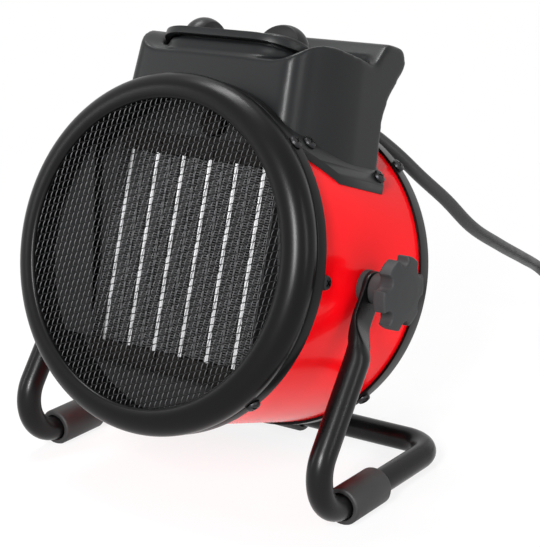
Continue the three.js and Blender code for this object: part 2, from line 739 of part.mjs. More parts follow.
function fanImpeller() {
  const rear = FAN_FRONT + HUB_DEPTH;
  const floor = FAN_FRONT + 7;
  const bore = SHAFT_RADIUS + GAP;
  const hub = turned([
    [0, FAN_FRONT],
    [HUB_RADIUS - 5, FAN_FRONT + 1],
    [HUB_RADIUS, FAN_FRONT + 5],
    [HUB_RADIUS, rear],
    [HUB_RADIUS - HUB_WALL, rear],
    [HUB_RADIUS - HUB_WALL, floor],
    [bore + 4, floor],
    [bore + 4, rear - 1],
    [bore, rear - 1],
    [bore, floor],
    [0, floor],
  ], 24);
  const turn = (2 * Math.PI) / FAN_BLADES;
  const blades = Array.from({ length: FAN_BLADES }, (_, k) => fanBlade().rotateY(k * turn));
  return join(hub, ...blades);
}

function motorRotor() {
  const front = FAN_FRONT + 7 + GAP;
  const rotorFront = MOTOR_FRONT + MOTOR_WALL + ROTOR_PLAY;
  const rotorRear = MOTOR_REAR - MOTOR_WALL - ROTOR_PLAY;
  return turned([
    [0, front],
    [SHAFT_RADIUS, front],
    [SHAFT_RADIUS, rotorFront],
    [ROTOR_RADIUS, rotorFront],
    [ROTOR_RADIUS, rotorRear],
    [SHAFT_RADIUS, rotorRear],
    [SHAFT_RADIUS, MOTOR_REAR + 3],
    [0, MOTOR_REAR + 3],
  ], SMALL_STEPS);
}

function motorHousing() {
  const bore = (SHAFT_RADIUS + SHAFT_PLAY) / Math.cos(Math.PI / SMALL_STEPS);
  const inside = (ROTOR_RADIUS + ROTOR_PLAY) / Math.cos(Math.PI / SMALL_STEPS);
  return turned([
    [bore, MOTOR_FRONT],
    [MOTOR_RADIUS - 3, MOTOR_FRONT],
    [MOTOR_RADIUS, MOTOR_FRONT + 3],
    [MOTOR_RADIUS, MOTOR_REAR],
    [bore, MOTOR_REAR],
    [bore, MOTOR_REAR - MOTOR_WALL],
    [inside, MOTOR_REAR - MOTOR_WALL],
    [inside, MOTOR_FRONT + MOTOR_WALL],
    [bore, MOTOR_FRONT + MOTOR_WALL],
  ], SMALL_STEPS);
}

// a plate behind the motor with arms that stand on the inside of the shell
function motorBracket() {
  const front = MOTOR_REAR + GAP;
  const reach = SHELL_BORE - GAP;
  const plate = rod(MOTOR_RADIUS, front, front + BRACKET_WALL, SMALL_STEPS);
  const arms = Array.from({ length: BRACKET_ARMS }, (_, k) => {
    const half = BRACKET_WIDTH / 2;
    const arm = block(-half, half, front, front + BRACKET_WALL, 10, reach - 1);
    const foot = block(-half, half, front - 12, front + BRACKET_WALL, reach - 1 - BRACKET_WALL, reach - 1);
    return join(arm, foot).rotateY(((k + 0.5) / BRACKET_ARMS) * 2 * Math.PI);
  });
  return cut(join(plate, ...arms), rod(SHAFT_RADIUS + 2, front - 1, front + BRACKET_WALL + 1));
}

add(along, 'fan_impeller', fanImpeller(), 'black_plastic');
add(along, 'motor_rotor', motorRotor(), 'steel');
add(along, 'motor_housing', motorHousing(), 'steel');
add(along, 'motor_bracket', motorBracket(), 'steel');

// ---------------------------------------------------------------- handle and control housing

// outline of the walls seen from above, before they lean, or of the room inside them
function wallOutline(inset = 0) {
  const front = HOUSING_FRONT + inset;
  const rear = BAR_REAR + 2;
  const half = HOUSING_HALF_FRONT;
  const corner = HOUSING_CORNER;
  const widest = HOUSING_HALF_REAR - inset;
  const waist = half + corner - inset;
  const flare = [widest - (widest - waist) / 5, front + corner + HOUSING_FLARE * 0.45];
  const shape = new THREE.Shape().moveTo(-half, front).lineTo(half, front);
  shape.quadraticCurveTo(half + corner * 0.7 - inset, front, waist, front + corner);
  shape.quadraticCurveTo(...flare, widest, front + corner + HOUSING_FLARE);
  shape.lineTo(widest, rear).lineTo(-widest, rear).lineTo(-widest, front + corner + HOUSING_FLARE);
  shape.quadraticCurveTo(-flare[0], flare[1], -waist, front + corner);
  return shape.quadraticCurveTo(-half - corner * 0.7 + inset, front, -half, front);
}

// the walls lean in towards the top, and the front wall leans back
function leaning(geometry) {
  const position = geometry.getAttribute('position');
  for (let i = 0; i < position.count; i += 1) {
    const [x, depth, height] = [position.getX(i), position.getY(i), position.getZ(i)];
    const forward = THREE.MathUtils.clamp((HOUSING_REAR - depth) / (HOUSING_REAR - HOUSING_FRONT), 0, 1);
    const narrowed = x * (1 - HOUSING_TAPER * (height - TAPER_LEVEL));
    position.setXYZ(i, narrowed, depth + HOUSING_LEAN * (height - LEAN_LEVEL) * forward, height);
  }
  return geometry;
}

// side view: shoulder, dip beside the hand opening, grip bar and the hollow back below it
function sideProfile() {
  const [dip, top, rear] = [HOUSING_DIP_DEPTH, HOUSING_TOP, BAR_REAR];
  const shape = new THREE.Shape().moveTo(0, HOUSING_FOOT).lineTo(0, HOUSING_SHOULDER - 0.6);
  shape.lineTo(RIM_RISE_END - 3, HOUSING_SHOULDER).lineTo(dip, HOUSING_DIP);
  shape.quadraticCurveTo(dip + 4, HOUSING_DIP, dip + 7, HOUSING_DIP + 3.5);
  shape.lineTo(GRIP_REAR + 1, top - 3).quadraticCurveTo(GRIP_REAR + 3.5, top, GRIP_REAR + 8, top);
  shape.lineTo(rear - BAR_ROUND - 1, top).quadraticCurveTo(rear, top, rear, top - BAR_ROUND);
  shape.quadraticCurveTo(rear, top - BAR_ROUND - 3.5, rear - 3, top - BAR_ROUND - 7.5);
  shape.bezierCurveTo(rear - 14, BAR_HOLLOW, HOUSING_REAR, BAR_HOLLOW - 9, HOUSING_REAR, BAR_HOLLOW - 29);
  return shape.lineTo(HOUSING_REAR, HOUSING_FOOT);
}

// front view of the space above the rim, which dips below the panel and climbs to the shoulders
function aboveRim() {
  const [low, high, half, reach] = [HOUSING_RIM, HOUSING_SHOULDER, RIM_HALF, SHOULDER_HALF];
  const shape = new THREE.Shape().moveTo(-reach, HOUSING_TOP + 9).lineTo(-reach, high);
  shape.bezierCurveTo(-reach + 6, high - 7.6, -half - 24, low, -half, low).lineTo(half, low);
  shape.bezierCurveTo(half + 24, low, reach - 6, high - 7.6, reach, high);
  return shape.lineTo(reach, HOUSING_TOP + 9);
}

function flangeOutline() {
  const half = [
    [HOUSING_HALF_FRONT + HOUSING_CORNER + FLANGE_EAR, FLANGE_FRONT],
    [HOUSING_HALF_FRONT + HOUSING_CORNER + 2 * FLANGE_EAR, FLANGE_FRONT + 7],
    [HOUSING_HALF_REAR + FLANGE_MARGIN - 1, FLANGE_FRONT + 36],
    [HOUSING_HALF_REAR + FLANGE_MARGIN, FLANGE_REAR - 4],
    [HOUSING_HALF_REAR + FLANGE_MARGIN - 3.5, FLANGE_REAR],
  ];
  const mirrored = half.map(([x, y]) => [-x, y]).reverse();
  return new THREE.Shape([...half, ...mirrored].map(([x, y]) => v2(x, y)));
}

// cross section of a room above a floor
function recessShape(floor) {
  const shape = new THREE.Shape().moveTo(-RECESS_HALF, HOUSING_TOP + 9);
  shape.lineTo(-RECESS_HALF, floor + RECESS_CORNER);
  shape.quadraticCurveTo(-RECESS_HALF, floor, -RECESS_HALF + RECESS_CORNER, floor);
  shape.lineTo(RECESS_HALF - RECESS_CORNER, floor);
  shape.quadraticCurveTo(RECESS_HALF, floor, RECESS_HALF, floor + RECESS_CORNER);
  return shape.lineTo(RECESS_HALF, HOUSING_TOP + 9);
}

// the recess seen from above, with the panel's round front corners
function recessPlan(front, rear) {
  const corner = PANEL_CORNER + PANEL_PLAY;
  const shape = new THREE.Shape().moveTo(-RECESS_HALF, front + corner);
  shape.absarc(-RECESS_HALF + corner, front + corner, corner, Math.PI, 1.5 * Math.PI);
  shape.absarc(RECESS_HALF - corner, front + corner, corner, 1.5 * Math.PI, 2 * Math.PI);
  return shape.lineTo(RECESS_HALF, rear).lineTo(-RECESS_HALF, rear);
}

function handleHousing() {
  const seat = SHELL_RADIUS + GAP;
  const above = HOUSING_TOP + 9;
  const walls = leaning(column(wallOutline(), HOUSING_FOOT, HOUSING_TOP + 4));
  const body = common(walls, prism(sideProfile(), -RING_RADIUS, RING_RADIUS));
  const saddle = turned([
    [seat, FLANGE_FRONT - 5],
    [seat + FLANGE_WALL, FLANGE_FRONT - 5],
    [seat + FLANGE_WALL, FLANGE_REAR + 5],
    [seat, FLANGE_REAR + 5],
  ]);
  const flange = common(saddle, column(flangeOutline(), FLANGE_LOWEST, HOUSING_TOP));
  const behindPanel = GRIP_FRONT - CAVITY_WALL;
  const roomTop = RECESS_FLOOR - CAVITY_WALL;
  const roomRear = HOUSING_REAR - CAVITY_WALL;
  const controlRoom = rectangle(-ROOM_HALF, ROOM_HALF, ROOM_FRONT, behindPanel - CAVITY_WALL, GRIP_CORNER);
  const inside = leaning(column(wallOutline(CAVITY_WALL), HOUSING_FOOT - 1, roomTop));
  const gripPlan = rectangle(-GRIP_HALF, GRIP_HALF, GRIP_FRONT, GRIP_REAR, GRIP_CORNER);
  const cordHole = rod(GLAND_SHANK + GAP, GRIP_REAR - 9, HOUSING_REAR + 5).translate(0, 0, GLAND_HEIGHT);
  const cordSeat = rod(GLAND_FLANGE + GAP, HOUSING_REAR, BAR_REAR + 5).translate(0, 0, GLAND_HEIGHT);
  return cut(
    join(body, flange),
    rod(seat, -RING_NOSE, BAR_REAR + 20, AXIAL_STEPS),
    slab(aboveRim(), -RING_NOSE, RIM_RISE_END),
    common(
      column(recessPlan(RECESS_FRONT, behindPanel), RECESS_FLOOR, above),
      slab(recessShape(RECESS_FLOOR), RECESS_FRONT - 1, behindPanel + 1),
    ),
    column(recessPlan(PANEL_FRONT - PANEL_PLAY, behindPanel), PANEL_TOP - PANEL_LIP - PANEL_LIP_ROOM, above),
    slab(recessShape(RECESS_SILL), behindPanel - 1, GRIP_FRONT + 1),
    column(controlRoom, HOUSING_FOOT, HOUSING_TOP),
    common(inside, block(-RING_RADIUS, RING_RADIUS, 0, roomRear, HOUSING_FOOT - 1, roomTop)),
    column(gripPlan, GRIP_FLOOR, above),
    cordHole,
    cordSeat,
    ...flangeScrews.map((place) => screwHole(place)),
  );
}

// panel outline in the panel's own plane: straight front edge with two round corners, straight sides and back
function panelOutline(inset) {
  const half = PANEL_HALF - inset;
  const corner = PANEL_CORNER - inset;
  const shape = new THREE.Shape().moveTo(-half, inset + corner);
  shape.absarc(-half + corner, inset + corner, corner, Math.PI, 1.5 * Math.PI);
  shape.absarc(half - corner, inset + corner, corner, 1.5 * Math.PI, 2 * Math.PI);
  return shape.lineTo(half, PANEL_LENGTH - inset).lineTo(-half, PANEL_LENGTH - inset);
}

function controlPanel() {
  const round = {
    bevelEnabled: true,
    bevelThickness: PANEL_ROUND,
    bevelSize: PANEL_ROUND,
    bevelOffset: -PANEL_ROUND,
    bevelSegments: 1,
  };
  const plate = column(panelOutline(0), -PANEL_WALL + PANEL_ROUND, -PANEL_ROUND, round);
  const lip = cut(
    column(panelOutline(0), -PANEL_LIP + PANEL_ROUND, -PANEL_ROUND, round),
    column(panelOutline(PANEL_LIP_WALL), -PANEL_LIP - 1, -PANEL_WALL),
    block(-PANEL_HALF - 1, PANEL_HALF + 1, PANEL_CORNER, PANEL_LENGTH + 1, -PANEL_LIP - 1, 1),
  );
  const floor = RECESS_FLOOR + GAP - PANEL_TOP;
  const skirt = cut(
    column(panelOutline(PANEL_SKIRT_INSET), floor - 10, -PANEL_WALL / 2),
    column(panelOutline(PANEL_SKIRT_INSET + PANEL_SKIRT_WALL), floor - 11, -PANEL_WALL),
  );
  const below = block(-PANEL_HALF, PANEL_HALF, -PANEL_LENGTH, 3 * PANEL_LENGTH, floor - PANEL_HALF, floor);
  const seat = below.rotateX(PANEL_SLOPE);
  const holes = [-1, 1].map((sign) => {
    const hole = alongZ(rod(SPINDLE_RADIUS + 0.6, -PANEL_WALL - 2, 2));
    return hole.translate((sign * KNOB_SPACING) / 2, KNOB_SETBACK, 0);
  });
  return cut(join(plate, lip, skirt), seat, ...holes);
}

// round skirt with a half round grip across it, and a bore for the spindle
function turnKnob() {
  const round = KNOB_ROUND;
  const skirt = turned([[0, 0], [KNOB_RADIUS, 0], [KNOB_RADIUS - round, KNOB_SKIRT], [0, KNOB_SKIRT]], 24);
  const [wide, high] = [KNOB_RADIUS - round, KNOB_HEIGHT - round];
  const blade = new THREE.Shape().absellipse(0, 0, wide, high, 0, Math.PI);
  const options = { bevelThickness: round, bevelSize: round, bevelSegments: 1, curveSegments: 10 };
  const thickness = KNOB_GRIP_WALL - 2 * round;
  const plate = extruded(blade, thickness, { bevelEnabled: true, ...options });
  const grip = plate.rotateX(Math.PI / 2).translate(0, thickness / 2, 0);
  const reach = KNOB_RADIUS + 1;
  const below = block(-reach, reach, -reach, reach, -KNOB_SKIRT, 0);
  const bore = alongZ(rod(SPINDLE_RADIUS + GAP, -1, SPINDLE_HOLD));
  return cut(join(alongZ(skirt), grip), below, bore);
}

const SWITCH_TOP = -PANEL_WALL - GAP;
const SPINDLE_BOTTOM = SWITCH_TOP - SWITCH_HEIGHT + SPINDLE_FOOT;

function switchBody() {
  const half = SWITCH_SIZE / 2;
  const body = block(-half, half, -half, half, SWITCH_TOP - SWITCH_HEIGHT, SWITCH_TOP);
  return cut(body, alongZ(rod(SPINDLE_RADIUS + GAP, SPINDLE_BOTTOM, SWITCH_TOP + 1)));
}

const spindle = () => alongZ(rod(SPINDLE_RADIUS, SPINDLE_BOTTOM + GAP, SPINDLE_HOLD));

add(along, 'handle_housing', handleHousing(), 'black_plastic');
add(panelFrame, 'control_panel', controlPanel(), 'black_plastic');
[['thermostat', -1], ['selector', 1]].forEach(([name, sign]) => {
  const place = new THREE.Group();
  place.position.set((sign * KNOB_SPACING) / 2, KNOB_SETBACK, 0);
  panelFrame.add(place);
  const knob = add(place, `${name}_knob`, turnKnob(), 'black_plastic');
  knob.position.z = GAP;
  knob.rotation.z = name === 'thermostat' ? Math.PI / 2 : 0; // grip of the left knob points forward
  add(place, `${name}_spindle`, spindle(), 'steel');
  add(place, name === 'selector' ? 'selector_switch' : 'thermostat_body', switchBody(), 'insulator');
});
const terminals = block(
  -TERMINAL_HALF,
  TERMINAL_HALF,
  GRIP_FRONT - TERMINAL_DEPTH,
  GRIP_FRONT,
  SHELL_RADIUS + GAP,
  SHELL_RADIUS + GAP + TERMINAL_HEIGHT,
);
add(along, 'terminal_block', terminals, 'insulator');

// ---------------------------------------------------------------- pivots and star knobs

const EYE_INSIDE = STAND_HALF - TUBE_RADIUS + GAP; // inner face of the flattened tube end
const EYE_OUTSIDE = EYE_INSIDE + EYE_WALL;

// built for the right side, pointing along +X
function spacer() {
  const [from, to] = [SHELL_RADIUS + GAP, EYE_INSIDE - GAP];
  const profile = [[STUD_HOLE, from], [SPACER_RADIUS, from], [SPACER_RADIUS, to], [STUD_HOLE, to]];
  return alongX(turned(profile, SMALL_STEPS));
}

function hexNut() {
  const top = SHELL_BORE - 1;
  const nut = turned([[0, top - NUT_HEIGHT], [NUT_RADIUS, top - NUT_HEIGHT], [NUT_RADIUS, top], [0, top]], 6);
  const bore = rod(STUD_RADIUS + STUD_PLAY, top - NUT_HEIGHT - 1, top + 1);
  return alongX(cut(nut, bore));
}

function starKnob() {
  const count = STAR_LOBES * 6;
  const points = Array.from({ length: count }, (_, k) => {
    const angle = (k / count) * 2 * Math.PI;
    const radius = STAR_RADIUS - 1.5 - STAR_NOTCH * (0.5 - 0.5 * Math.cos(STAR_LOBES * angle)) ** 2;
    return v2(radius * Math.cos(angle), radius * Math.sin(angle));
  });
  const options = { bevelEnabled: true, bevelThickness: 1.5, bevelSize: 1.5, bevelSegments: 1 };
  const hubFrom = EYE_OUTSIDE + GAP;
  const headFrom = hubFrom + STAR_HUB;
  const head = prism(new THREE.Shape(points), 0, STAR_HEAD - 3, options).translate(headFrom + 1.5, 0, 0);
  const hub = alongX(rod(STAR_HUB_RADIUS, hubFrom, headFrom + 1));
  const stud = alongX(rod(STUD_RADIUS, SHELL_BORE - 1 - NUT_HEIGHT, headFrom, 16));
  return join(head, hub, stud);
}

for (const [side, sign] of [['left', -1], ['right', 1]]) {
  const hardware = new THREE.Group();
  hardware.rotation.z = sign < 0 ? Math.PI : 0;
  pivot.add(hardware);
  add(hardware, `pivot_spacer_${side}`, spacer(), 'black_plastic');
  add(hardware, `pivot_nut_${side}`, hexNut(), 'steel');
  add(hardware, `star_knob_${side}`, starKnob(), 'black_plastic');
}

// ---------------------------------------------------------------- stand

// centre line of the tube on the floor, from the pivot
const RAIL_HEIGHT = SLEEVE_RADIUS - SLEEVE_FLAT - PIVOT_HEIGHT;
const BEND_CENTRE = v2(STAND_BEND - STAND_FRONT, RAIL_HEIGHT + STAND_BEND);

// the leg runs straight from the pivot and touches the front bend; directions in the plane of the side
function legLine() {
  const away = BEND_CENTRE.length();
  const slope = Math.atan2(BEND_CENTRE.y, BEND_CENTRE.x) - Math.asin(STAND_BEND / away);
  const direction = v3(0, Math.cos(slope), Math.sin(slope));
  return { direction, length: Math.sqrt(away ** 2 - STAND_BEND ** 2) };
}

function arc(centre, first, second, radius, angle, steps) {
  return Array.from({ length: steps + 1 }, (_, k) => {
    const a = (angle * k) / steps;
    const place = centre.clone().addScaledVector(first, radius * Math.cos(a));
    return place.addScaledVector(second, radius * Math.sin(a));
  });
}

// centre line of the right half: from the end of the flattened part to the middle of the rear crossbar
function halfLine() {
  const { direction, length } = legLine();
  const centre = v3(0, BEND_CENTRE.x, BEND_CENTRE.y);
  const first = direction.clone().multiplyScalar(length).sub(centre).normalize();
  const front = arc(centre, first, direction, STAND_BEND, Math.acos(-first.z), 8);
  const cornerCentre = v3(-STAND_CORNER, STAND_REAR - STAND_CORNER, RAIL_HEIGHT);
  const corner = arc(cornerCentre, v3(1, 0, 0), v3(0, 1, 0), STAND_CORNER, Math.PI / 2, 5);
  const start = direction.clone().multiplyScalar(EYE_LENGTH + EYE_TAPER);
  const side = [start, ...front, ...corner].map((p) => p.add(v3(STAND_HALF, 0, 0)));
  return [...side, v3(0, STAND_REAR, RAIL_HEIGHT)];
}

// the flattened end with its round tip, growing into the round tube
function eyeRings(sides) {
  const { direction } = legLine();
  const across = v3(0, -direction.z, direction.y);
  const outward = across.clone().cross(direction);
  const half = EYE_WIDTH / 2;
  const middle = (EYE_INSIDE + EYE_OUTSIDE) / 2;
  const at = (distance, x) => direction.clone().multiplyScalar(distance).add(v3(x, 0, 0));
  const tip = [0.98, 0.85, 0.6, 0.3, 0].map((share) => [-half * share, half * Math.sqrt(1 - share * share)]);
  const flat = [...tip, [EYE_LENGTH, half]].map(([distance, width]) => (
    ringAt(at(distance, middle), across, outward, width, EYE_WALL / 2, sides, 12)
  ));
  const growing = ringAt(
    at(EYE_LENGTH + EYE_TAPER / 2, (middle + STAND_HALF) / 2),
    across,
    outward,
    (half + TUBE_RADIUS) / 2,
    (EYE_WALL / 2 + TUBE_RADIUS) / 2,
    sides,
    2.8,
  );
  return [...flat, growing];
}

function standTube() {
  const sides = 14;
  const { direction } = legLine();
  const across = v3(0, -direction.z, direction.y);
  const half = [...eyeRings(sides), ...sections(halfLine(), TUBE_RADIUS, sides, across)];
  const mirrored = half.slice(0, -1).map((ring) => ring.map((p) => v3(-p.x, p.y, p.z))).reverse();
  return cut(loft([...half, ...mirrored]), alongX(rod(STUD_HOLE, -STAND_HALF - 9, STAND_HALF + 9, 16)));
}

// a sleeve round the tube, flat where it stands on the floor
function sleeve(length) {
  const bore = (TUBE_RADIUS + GAP) / Math.cos(Math.PI / SMALL_STEPS);
  const body = turned([
    [bore, 0],
    [SLEEVE_RADIUS - 1.5, 0],
    [SLEEVE_RADIUS, 1.5],
    [SLEEVE_RADIUS, length - 1.5],
    [SLEEVE_RADIUS - 1.5, length],
    [bore, length],
  ], SMALL_STEPS);
  const low = SLEEVE_FLAT - SLEEVE_RADIUS;
  return cut(body, block(-SLEEVE_RADIUS, SLEEVE_RADIUS, -1, length + 1, low - 5, low));
}

add(pivot, 'stand_tube', standTube(), 'black_paint');
[['left', -1], ['right', 1]].forEach(([side, sign]) => {
  const foot = add(pivot, `foot_sleeve_${side}`, sleeve(SLEEVE_LENGTH), 'rubber');
  foot.position.set(sign * STAND_HALF, -SLEEVE_FRONT, RAIL_HEIGHT);
});
const rearFoot = add(pivot, 'rear_foot', sleeve(REAR_FOOT_LENGTH), 'rubber');
rearFoot.position.set(REAR_FOOT_LENGTH / 2, STAND_REAR, RAIL_HEIGHT);
rearFoot.rotation.z = Math.PI / 2;

// ---------------------------------------------------------------- mains cord

const CORD_RADIUS = CORD_DIAMETER / 2;
const GLAND_FACE = HOUSING_REAR + GAP; // seat of the gland on the rear wall
const GLAND_END = GLAND_FACE + GLAND_LENGTH;

function cableGland() {
  return turned([
    [0, GRIP_REAR - 7],
    [GLAND_SHANK, GRIP_REAR - 7],
    [GLAND_SHANK, GLAND_FACE],
    [GLAND_FLANGE, GLAND_FACE],
    [GLAND_FLANGE, GLAND_FACE + 2.5],
    [GLAND_RADIUS, GLAND_FACE + 4],
    [GLAND_TIP, GLAND_END],
    [0, GLAND_END],
  ], SMALL_STEPS);
}

// from the barrel's own directions to the pivot's, both measured from the pivot
function fromBarrel(x, depth, height) {
  const p = v3(x, depth - PIVOT_DEPTH, height);
  return p.applyAxisAngle(v3(1, 0, 0), -TILT);
}

const FLOOR = -PIVOT_HEIGHT;
const COIL_LOW = FLOOR + CORD_RADIUS + COIL_LIFT;
const COIL_OUTER = COIL_RADIUS + (COIL_PITCH * COIL_TURNS) / 4;

// a place on the coil after a number of turns: inwards on the lower layer, outwards on the upper one
function coilPoint(turns) {
  const half = COIL_TURNS / 2;
  const angle = COIL_START - turns * 2 * Math.PI;
  const radius = COIL_OUTER - COIL_PITCH * (half - Math.abs(half - turns));
  const climb = THREE.MathUtils.smoothstep(turns, half - 0.25, half + 0.25);
  const [x, y] = [COIL_X + radius * Math.cos(angle), COIL_Y + radius * Math.sin(angle)];
  return v3(x, y, COIL_LOW + climb * COIL_LAYER);
}

function coilLine() {
  const steps = Math.round(COIL_TURNS * LOOP_STEPS);
  const turns = Array.from({ length: steps + 1 }, (_, k) => coilPoint((COIL_TURNS * k) / steps));
  const first = turns[0];
  const last = turns[steps];
  const inwards = v3(Math.sin(COIL_START), -Math.cos(COIL_START), 0);
  const endAngle = COIL_START - COIL_TURNS * 2 * Math.PI;
  const outwards = v3(Math.sin(endAngle), -Math.cos(endAngle), 0);
  const start = first.clone().addScaledVector(inwards, -CORD_DIAMETER);
  const end = last.clone().addScaledVector(outwards, COIL_TAIL);
  return { points: [start, ...turns, end], start, inwards, end, outwards };
}

const coil = coilLine();

function leadLine() {
  const exit = fromBarrel(0, GLAND_END + GAP, GLAND_HEIGHT);
  const straight = fromBarrel(0, GLAND_END + GAP + CORD_DIAMETER, GLAND_HEIGHT);
  const end = coil.start.clone().addScaledVector(coil.inwards, -GAP);
  const level = end.clone().addScaledVector(coil.inwards, -CORD_DIAMETER);
  const curve = new THREE.CatmullRomCurve3([
    straight,
    v3(8, 131, 72),
    v3(29, 154, 47),
    v3(43, 170, 26),
    v3(53, 187, 8),
    v3(59, 213, -16),
    v3(56, 265, -43),
    v3(45, 325, -69),
    v3(36, 376, -92),
    v3(43, 402, -113),
    level,
  ], false, 'centripetal');
  return [exit, ...curve.getSpacedPoints(Math.round(curve.getLength() / CORD_STEP)), end];
}

// least room between two stretches of a line that are more than a third of a turn apart
function leastRoom(points, diameter) {
  const curve = new THREE.CatmullRomCurve3(points);
  const count = Math.round(curve.getLength() / 3);
  const places = curve.getSpacedPoints(count);
  const apart = Math.round((COIL_RADIUS * 2) / 3);
  let least = Infinity;
  for (let i = 0; i < places.length; i += 1) {
    for (let k = i + apart; k < places.length; k += 1) {
      least = Math.min(least, places[i].distanceTo(places[k]));
    }
  }
  return least - diameter;
}

// flat strap round the turns at one place
function coilTie() {
  const low = COIL_LOW - CORD_RADIUS - TIE_PLAY;
  const high = COIL_LOW + COIL_LAYER + CORD_RADIUS + TIE_PLAY;
  const before = (COIL_START - TIE_ANGLE) / 2 / Math.PI;
  const passes = Array.from({ length: Math.ceil(COIL_TURNS) + 1 }, (_, k) => k + before)
    .filter((turns) => turns <= COIL_TURNS)
    .map((turns) => coilPoint(turns))
    .map((p) => Math.hypot(p.x - COIL_X, p.y - COIL_Y));
  const inner = Math.min(...passes) - CORD_RADIUS - TIE_PLAY;
  const outer = Math.max(...passes) + CORD_RADIUS + TIE_PLAY;
  const band = rectangle(inner - TIE_WALL, outer + TIE_WALL, low - TIE_WALL, high + TIE_WALL, 4);
  band.holes.push(rectangle(inner, outer, low, high, 3));
  const strap = slab(band, -TIE_WIDTH / 2, TIE_WIDTH / 2);
  return strap.rotateZ(TIE_ANGLE).translate(COIL_X, COIL_Y, 0);
}

// neck, body and flat face, along Y from the end of the cord
function plugBody() {
  const stations = [
    [0, 6.2, 6.2],
    [PLUG_NECK, 7.4, 7.4],
    [PLUG_NECK + 6, 12, 11],
    [PLUG_NECK + 14, PLUG_HALF_WIDTH, PLUG_HALF_HEIGHT],
    [PLUG_LENGTH, PLUG_HALF_WIDTH, PLUG_HALF_HEIGHT],
  ];
  const across = v3(1, 0, 0);
  const up = v3(0, 0, 1);
  return loft(stations.map(([depth, width, height]) => (
    ringAt(v3(0, depth, 0), across, up, width, height, 20, 2.6)
  )));
}

add(along, 'cable_gland', cableGland(), 'rubber').position.z = GLAND_HEIGHT;
add(pivot, 'cord_lead', tube(leadLine(), CORD_RADIUS, CORD_SIDES), 'rubber');
add(pivot, 'cord_coil', tube(coil.points, CORD_RADIUS, LOOP_SIDES), 'rubber');
add(pivot, 'cord_tie', coilTie(), 'rubber');
console.log('least room in the coil', leastRoom(coil.points, CORD_DIAMETER).toFixed(2));

const plug = new THREE.Group();
plug.position.copy(coil.end).addScaledVector(coil.outwards, GAP);
plug.rotation.z = Math.atan2(-coil.outwards.x, coil.outwards.y);
pivot.add(plug);
add(plug, 'plug_body', plugBody(), 'rubber');
[['left', -1], ['right', 1]].forEach(([side, sign]) => {
  const pin = rod(PIN_RADIUS, PLUG_LENGTH + GAP, PLUG_LENGTH + PIN_LENGTH, 16);
  add(plug, `plug_pin_${side}`, pin, 'steel').position.x = (sign * PIN_SPACING) / 2;
});

// ---------------------------------------------------------------- origin

// middle of the footprint on the floor, measured without the cord
heater.updateMatrixWorld(true);
const footprint = new THREE.Box3();
heater.traverse((piece) => {
  if (piece.isMesh && !/^(cord|plug)_/.test(piece.name)) footprint.expandByObject(piece, true);
});
const middle = footprint.getCenter(v3(0, 0, 0));
pivot.position.y -= middle.y;
pivot.position.z -= footprint.min.z;

export default heater;
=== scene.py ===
"""A tilting forced air heater in a pale studio: the CAD frame is dressed piece by piece, in metres."""

import math

import bpy
from mathutils import Matrix, Vector
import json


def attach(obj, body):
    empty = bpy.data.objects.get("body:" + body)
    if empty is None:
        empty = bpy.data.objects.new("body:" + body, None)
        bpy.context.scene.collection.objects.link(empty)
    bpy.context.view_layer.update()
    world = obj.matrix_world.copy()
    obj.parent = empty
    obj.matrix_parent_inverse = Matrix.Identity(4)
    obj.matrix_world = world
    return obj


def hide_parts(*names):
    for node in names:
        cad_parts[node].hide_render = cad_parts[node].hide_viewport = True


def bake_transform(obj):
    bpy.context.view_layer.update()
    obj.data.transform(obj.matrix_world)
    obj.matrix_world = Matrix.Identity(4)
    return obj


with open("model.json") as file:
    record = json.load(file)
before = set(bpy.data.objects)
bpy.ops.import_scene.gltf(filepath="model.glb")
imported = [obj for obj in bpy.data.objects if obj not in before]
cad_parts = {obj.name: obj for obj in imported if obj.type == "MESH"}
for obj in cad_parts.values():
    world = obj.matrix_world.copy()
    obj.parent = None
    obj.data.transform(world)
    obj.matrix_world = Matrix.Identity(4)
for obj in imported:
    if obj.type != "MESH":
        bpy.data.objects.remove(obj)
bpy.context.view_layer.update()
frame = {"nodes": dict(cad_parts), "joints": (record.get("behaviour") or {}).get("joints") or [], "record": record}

# ---------- places and sizes

MM = 0.001
PIVOT = Vector(next(j for j in frame["joints"] if j["name"] == "barrel_tilt")["pos_m"])
TILT = math.radians(17.2)
PIVOT_DEPTH = 0.0685
# from the drum's own directions (x, depth along its axis, height above its axis) to the frame
DRUM = Matrix.Translation(PIVOT) @ Matrix.Rotation(-TILT, 4, "X") @ Matrix.Translation((0, -PIVOT_DEPTH, 0))
AT_PIVOT = Matrix.Translation(PIVOT)
FLOOR = -PIVOT.z

CORD_DIAMETER = 0.0095
MERGE = 1e-6


# ---------- modelling helpers


def only(obj):
    bpy.ops.object.select_all(action="DESELECT")
    obj.select_set(True)
    bpy.context.view_layer.objects.active = obj
    return obj


def edit(obj, mode="FACE"):
    only(obj)
    bpy.ops.object.mode_set(mode="EDIT")
    bpy.ops.mesh.select_mode(type=mode)
    bpy.ops.mesh.select_all(action="SELECT")


def done():
    bpy.ops.object.mode_set(mode="OBJECT")


def outwards(obj):
    """Turn all faces outwards."""
    edit(obj, "VERT")
    bpy.ops.mesh.normals_make_consistent(inside=False)
    done()
    return obj


def tidy(obj):
    """Merge doubles and turn all faces outwards."""
    edit(obj, "VERT")
    bpy.ops.mesh.remove_doubles(threshold=MERGE)
    bpy.ops.mesh.normals_make_consistent(inside=False)
    done()
    return obj


def modify(obj, kind, **settings):
    modifier = obj.modifiers.new(kind.title(), kind)
    for key, value in settings.items():
        setattr(modifier, key, value)
    only(obj)
    bpy.ops.object.modifier_apply(modifier=modifier.name)
    return obj


def smooth(obj, degrees=35):
    only(obj)
    bpy.ops.object.shade_smooth_by_angle(angle=math.radians(degrees))
    return obj


